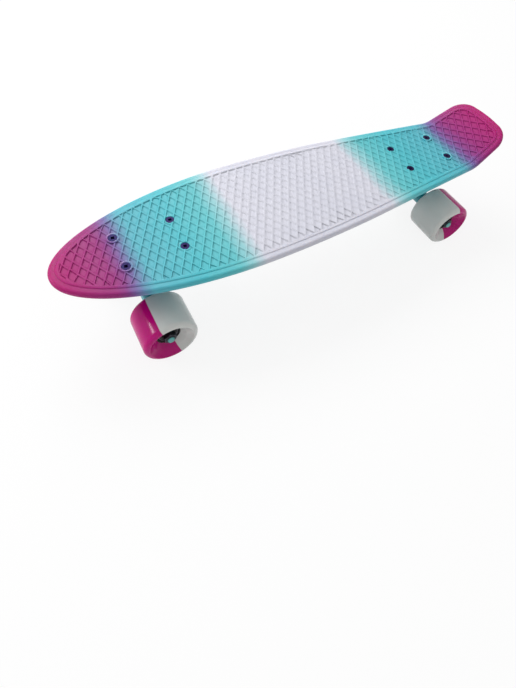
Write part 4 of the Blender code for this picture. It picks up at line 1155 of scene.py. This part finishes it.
print("bushings and cups")
bushingUrethane = softRubber("bushingUrethane", softValues["bushingColour"], 0.3, 0.45)
boardBushing = makeBushing("boardBushing", softValues["boardHeight"], softValues["bushing"])
roadBushing = makeBushing("roadBushing", softValues["roadHeight"], softValues["tip"])
for bushing in (boardBushing, roadBushing):
    dress(bushing, bushingUrethane)
boardWasher = dress(makeCupWasher("boardWasher", softValues["bushing"]), zincSteel)
roadWasher = dress(makeCupWasher("roadWasher", softValues["tip"]), zincSteel)
pivotCup = dress(makePivotCup(), softRubber("cupUrethane", softValues["cupColour"], 0.45, 0.6))

print("castings")
turquoisePaint = castPaint()
hanger = dress(makeHanger(), turquoisePaint)
baseplate = dress(makeBaseplate(), turquoisePaint)


def placeTruck(truck):
    # every piece of one truck, copied to its place and set riding on its body
    here = truckFrame(truck)
    steered = truck + "_truck"
    gap = castValues["gap"]
    seat = castValues["ring"][1] / 2 - castValues["ring"][3] + gap
    washer = gap + softValues["washer"]
    flip = Matrix.Rotation(math.pi, 4, "X")

    def put(piece, name, place, body):
        return mount(copyTo(piece, f"{truck}_{name}_look", here @ place), body, f"{truck}_{name}")

    put(baseplate, "baseplate", Matrix(), "board")
    put(pivotCup, "pivot_cup", axisFrame(pivotPoint, armWay), "board")
    put(kingpin, "kingpin", kingpinFrame(0), "board")
    put(kingpinNut, "kingpin_nut", kingpinFrame(steer["roadStack"]), "board")
    put(boardWasher, "board_washer", kingpinFrame(washer - steer["boardStack"]), "board")
    put(roadWasher, "road_washer", kingpinFrame(steer["roadStack"] - washer) @ flip, "board")
    put(hanger, "hanger", Matrix(), steered)
    put(axle, "axle", axleFrame(), steered)
    # a real bushing turns with the hanger at one end, stays with its washer at the other and gives in
    # between; here it rides on no body
    bushings = ((boardBushing, "board_bushing", kingpinFrame(-seat), softValues["boardHeight"]),
                (roadBushing, "road_bushing", kingpinFrame(seat) @ flip, softValues["roadHeight"]))
    for piece, name, place, height in bushings:
        bushing = put(piece, name, place, None)
        held = softValues["heldEnd"]
        washerEnd, ringEnd = (here @ place @ Vector((0, 0, at * mm)) for at in (height - held, held))
        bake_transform(bushing)
    for number, (x, y) in enumerate(boltSpots(), 1):
        put(mountBolt, f"mount_bolt_{number}", shift(x, y), "board")
        put(mountNut, f"mount_nut_{number}", shift(x, y), "board")
    for side in (1, -1):
        hand, place = handOf(truck, side), axleFrame(side)
        roller = f"{truck}_{hand}_roller"
        twoColours = put(wheel, hand + "_wheel", place, roller)
        dress(twoColours, wheelUrethane(f"{truck}_{hand}"), dishShadeBlack)
        put(sleeve, hand + "_sleeve", place, steered)
        nutPlace, middle = fastenerValues["axleNutPlace"], bearingValues["middles"]
        put(axleNut, hand + "_axle_nut", place @ shift(z=nutPlace), steered)
        for layer, height in (("outer", middle), ("inner", -middle)):
            put(bearing, f"{hand}_{layer}_bearing", place @ shift(z=height), roller)


print("assembly")
for truck in trucks:
    placeTruck(truck)
for pattern in (wheel, bearing, sleeve, axleNut, kingpinNut, mountNut, axle, kingpin, mountBolt, boardBushing,
                roadBushing, boardWasher, roadWasher, pivotCup, hanger, baseplate):
    bpy.data.objects.remove(pattern, do_unlink=True)


# Light, floor and camera

studio = {
    "lens": 520.233 / 688 * 36, "shiftX": -(268 - 258) / 688, "shiftY": -(344 - 236) / 688,
    "cameraPlace": (0.2867, 0.343183, 0.505707), "cameraTurn": (41.5832, -5.4566, 150.581),
    "key": ((0.02, -1.45, 1.5), (1.4, 1.0), 28), "strip": ((1.53, -0.81, 0.87), (0.9, 0.12), 13.0),
    "aim": (0, 0, 0.06), "sky": 0.58, "floorGlow": 0.87,
}


def areaLamp(name, place, size, power):
    clearSelection()
    bpy.ops.object.light_add(type="AREA")
    lamp = named(name)
    lamp.data.shape = "RECTANGLE"
    lamp.data.size, lamp.data.size_y, lamp.data.energy = *size, power
    lamp.location = place
    lamp.rotation_euler = (Vector(studio["aim"]) - Vector(place)).to_track_quat("-Z", "Y").to_euler()


def seenDirectly(paint):
    # 1 for camera, mirror and glass rays, 0 for the light that the floor gives off
    camera, glossy, glass = (paint.add("LightPath", output=f"Is {kind} Ray")
                             for kind in ("Camera", "Glossy", "Transmission"))
    return paint.add("Math", {"operation": "ADD", "use_clamp": True}, {0: camera + glossy, 1: glass})


def makeFloor():
    clearSelection()
    bpy.ops.mesh.primitive_grid_add(x_subdivisions=4, y_subdivisions=4, size=12)
    paint = Paint("paleFloor")
    pale = paint.add("BsdfDiffuse", {}, {"Color": (0.85, 0.85, 0.85, 1)})
    glow = paint.add("Emission", {}, {"Color": (1, 1, 1, 1), "Strength": 1.0})
    mixed = paint.add("MixShader", {}, {0: seenDirectly(paint) * studio["floorGlow"], 1: pale, 2: glow})
    paint.fill(paint.tree.nodes["Material Output"], {"Surface": mixed})
    dress(named("floor"), paint.owner)


def makeSky():
    paint = Paint("studioSky", "worlds")
    scene.world = paint.owner
    strength = seenDirectly(paint) * (1 - studio["sky"]) + studio["sky"]
    paint.fill(paint.tree.nodes["Background"], {"Strength": strength, "Color": (1, 1, 1, 1)})


def makeCamera():
    clearSelection()
    bpy.ops.object.camera_add(location=studio["cameraPlace"])
    camera = bpy.context.object
    camera.rotation_euler = [math.radians(turn) for turn in studio["cameraTurn"]]
    camera.data.sensor_width = 36
    camera.data.lens = studio["lens"]
    camera.data.shift_x, camera.data.shift_y = studio["shiftX"], studio["shiftY"]
    camera.data.clip_start = 0.01
    scene.camera = camera


print("studio")
areaLamp("keyLamp", *studio["key"])
areaLamp("stripLamp", *studio["strip"])
makeFloor()
makeSky()
makeCamera()
scene.view_settings.view_transform = "Standard"
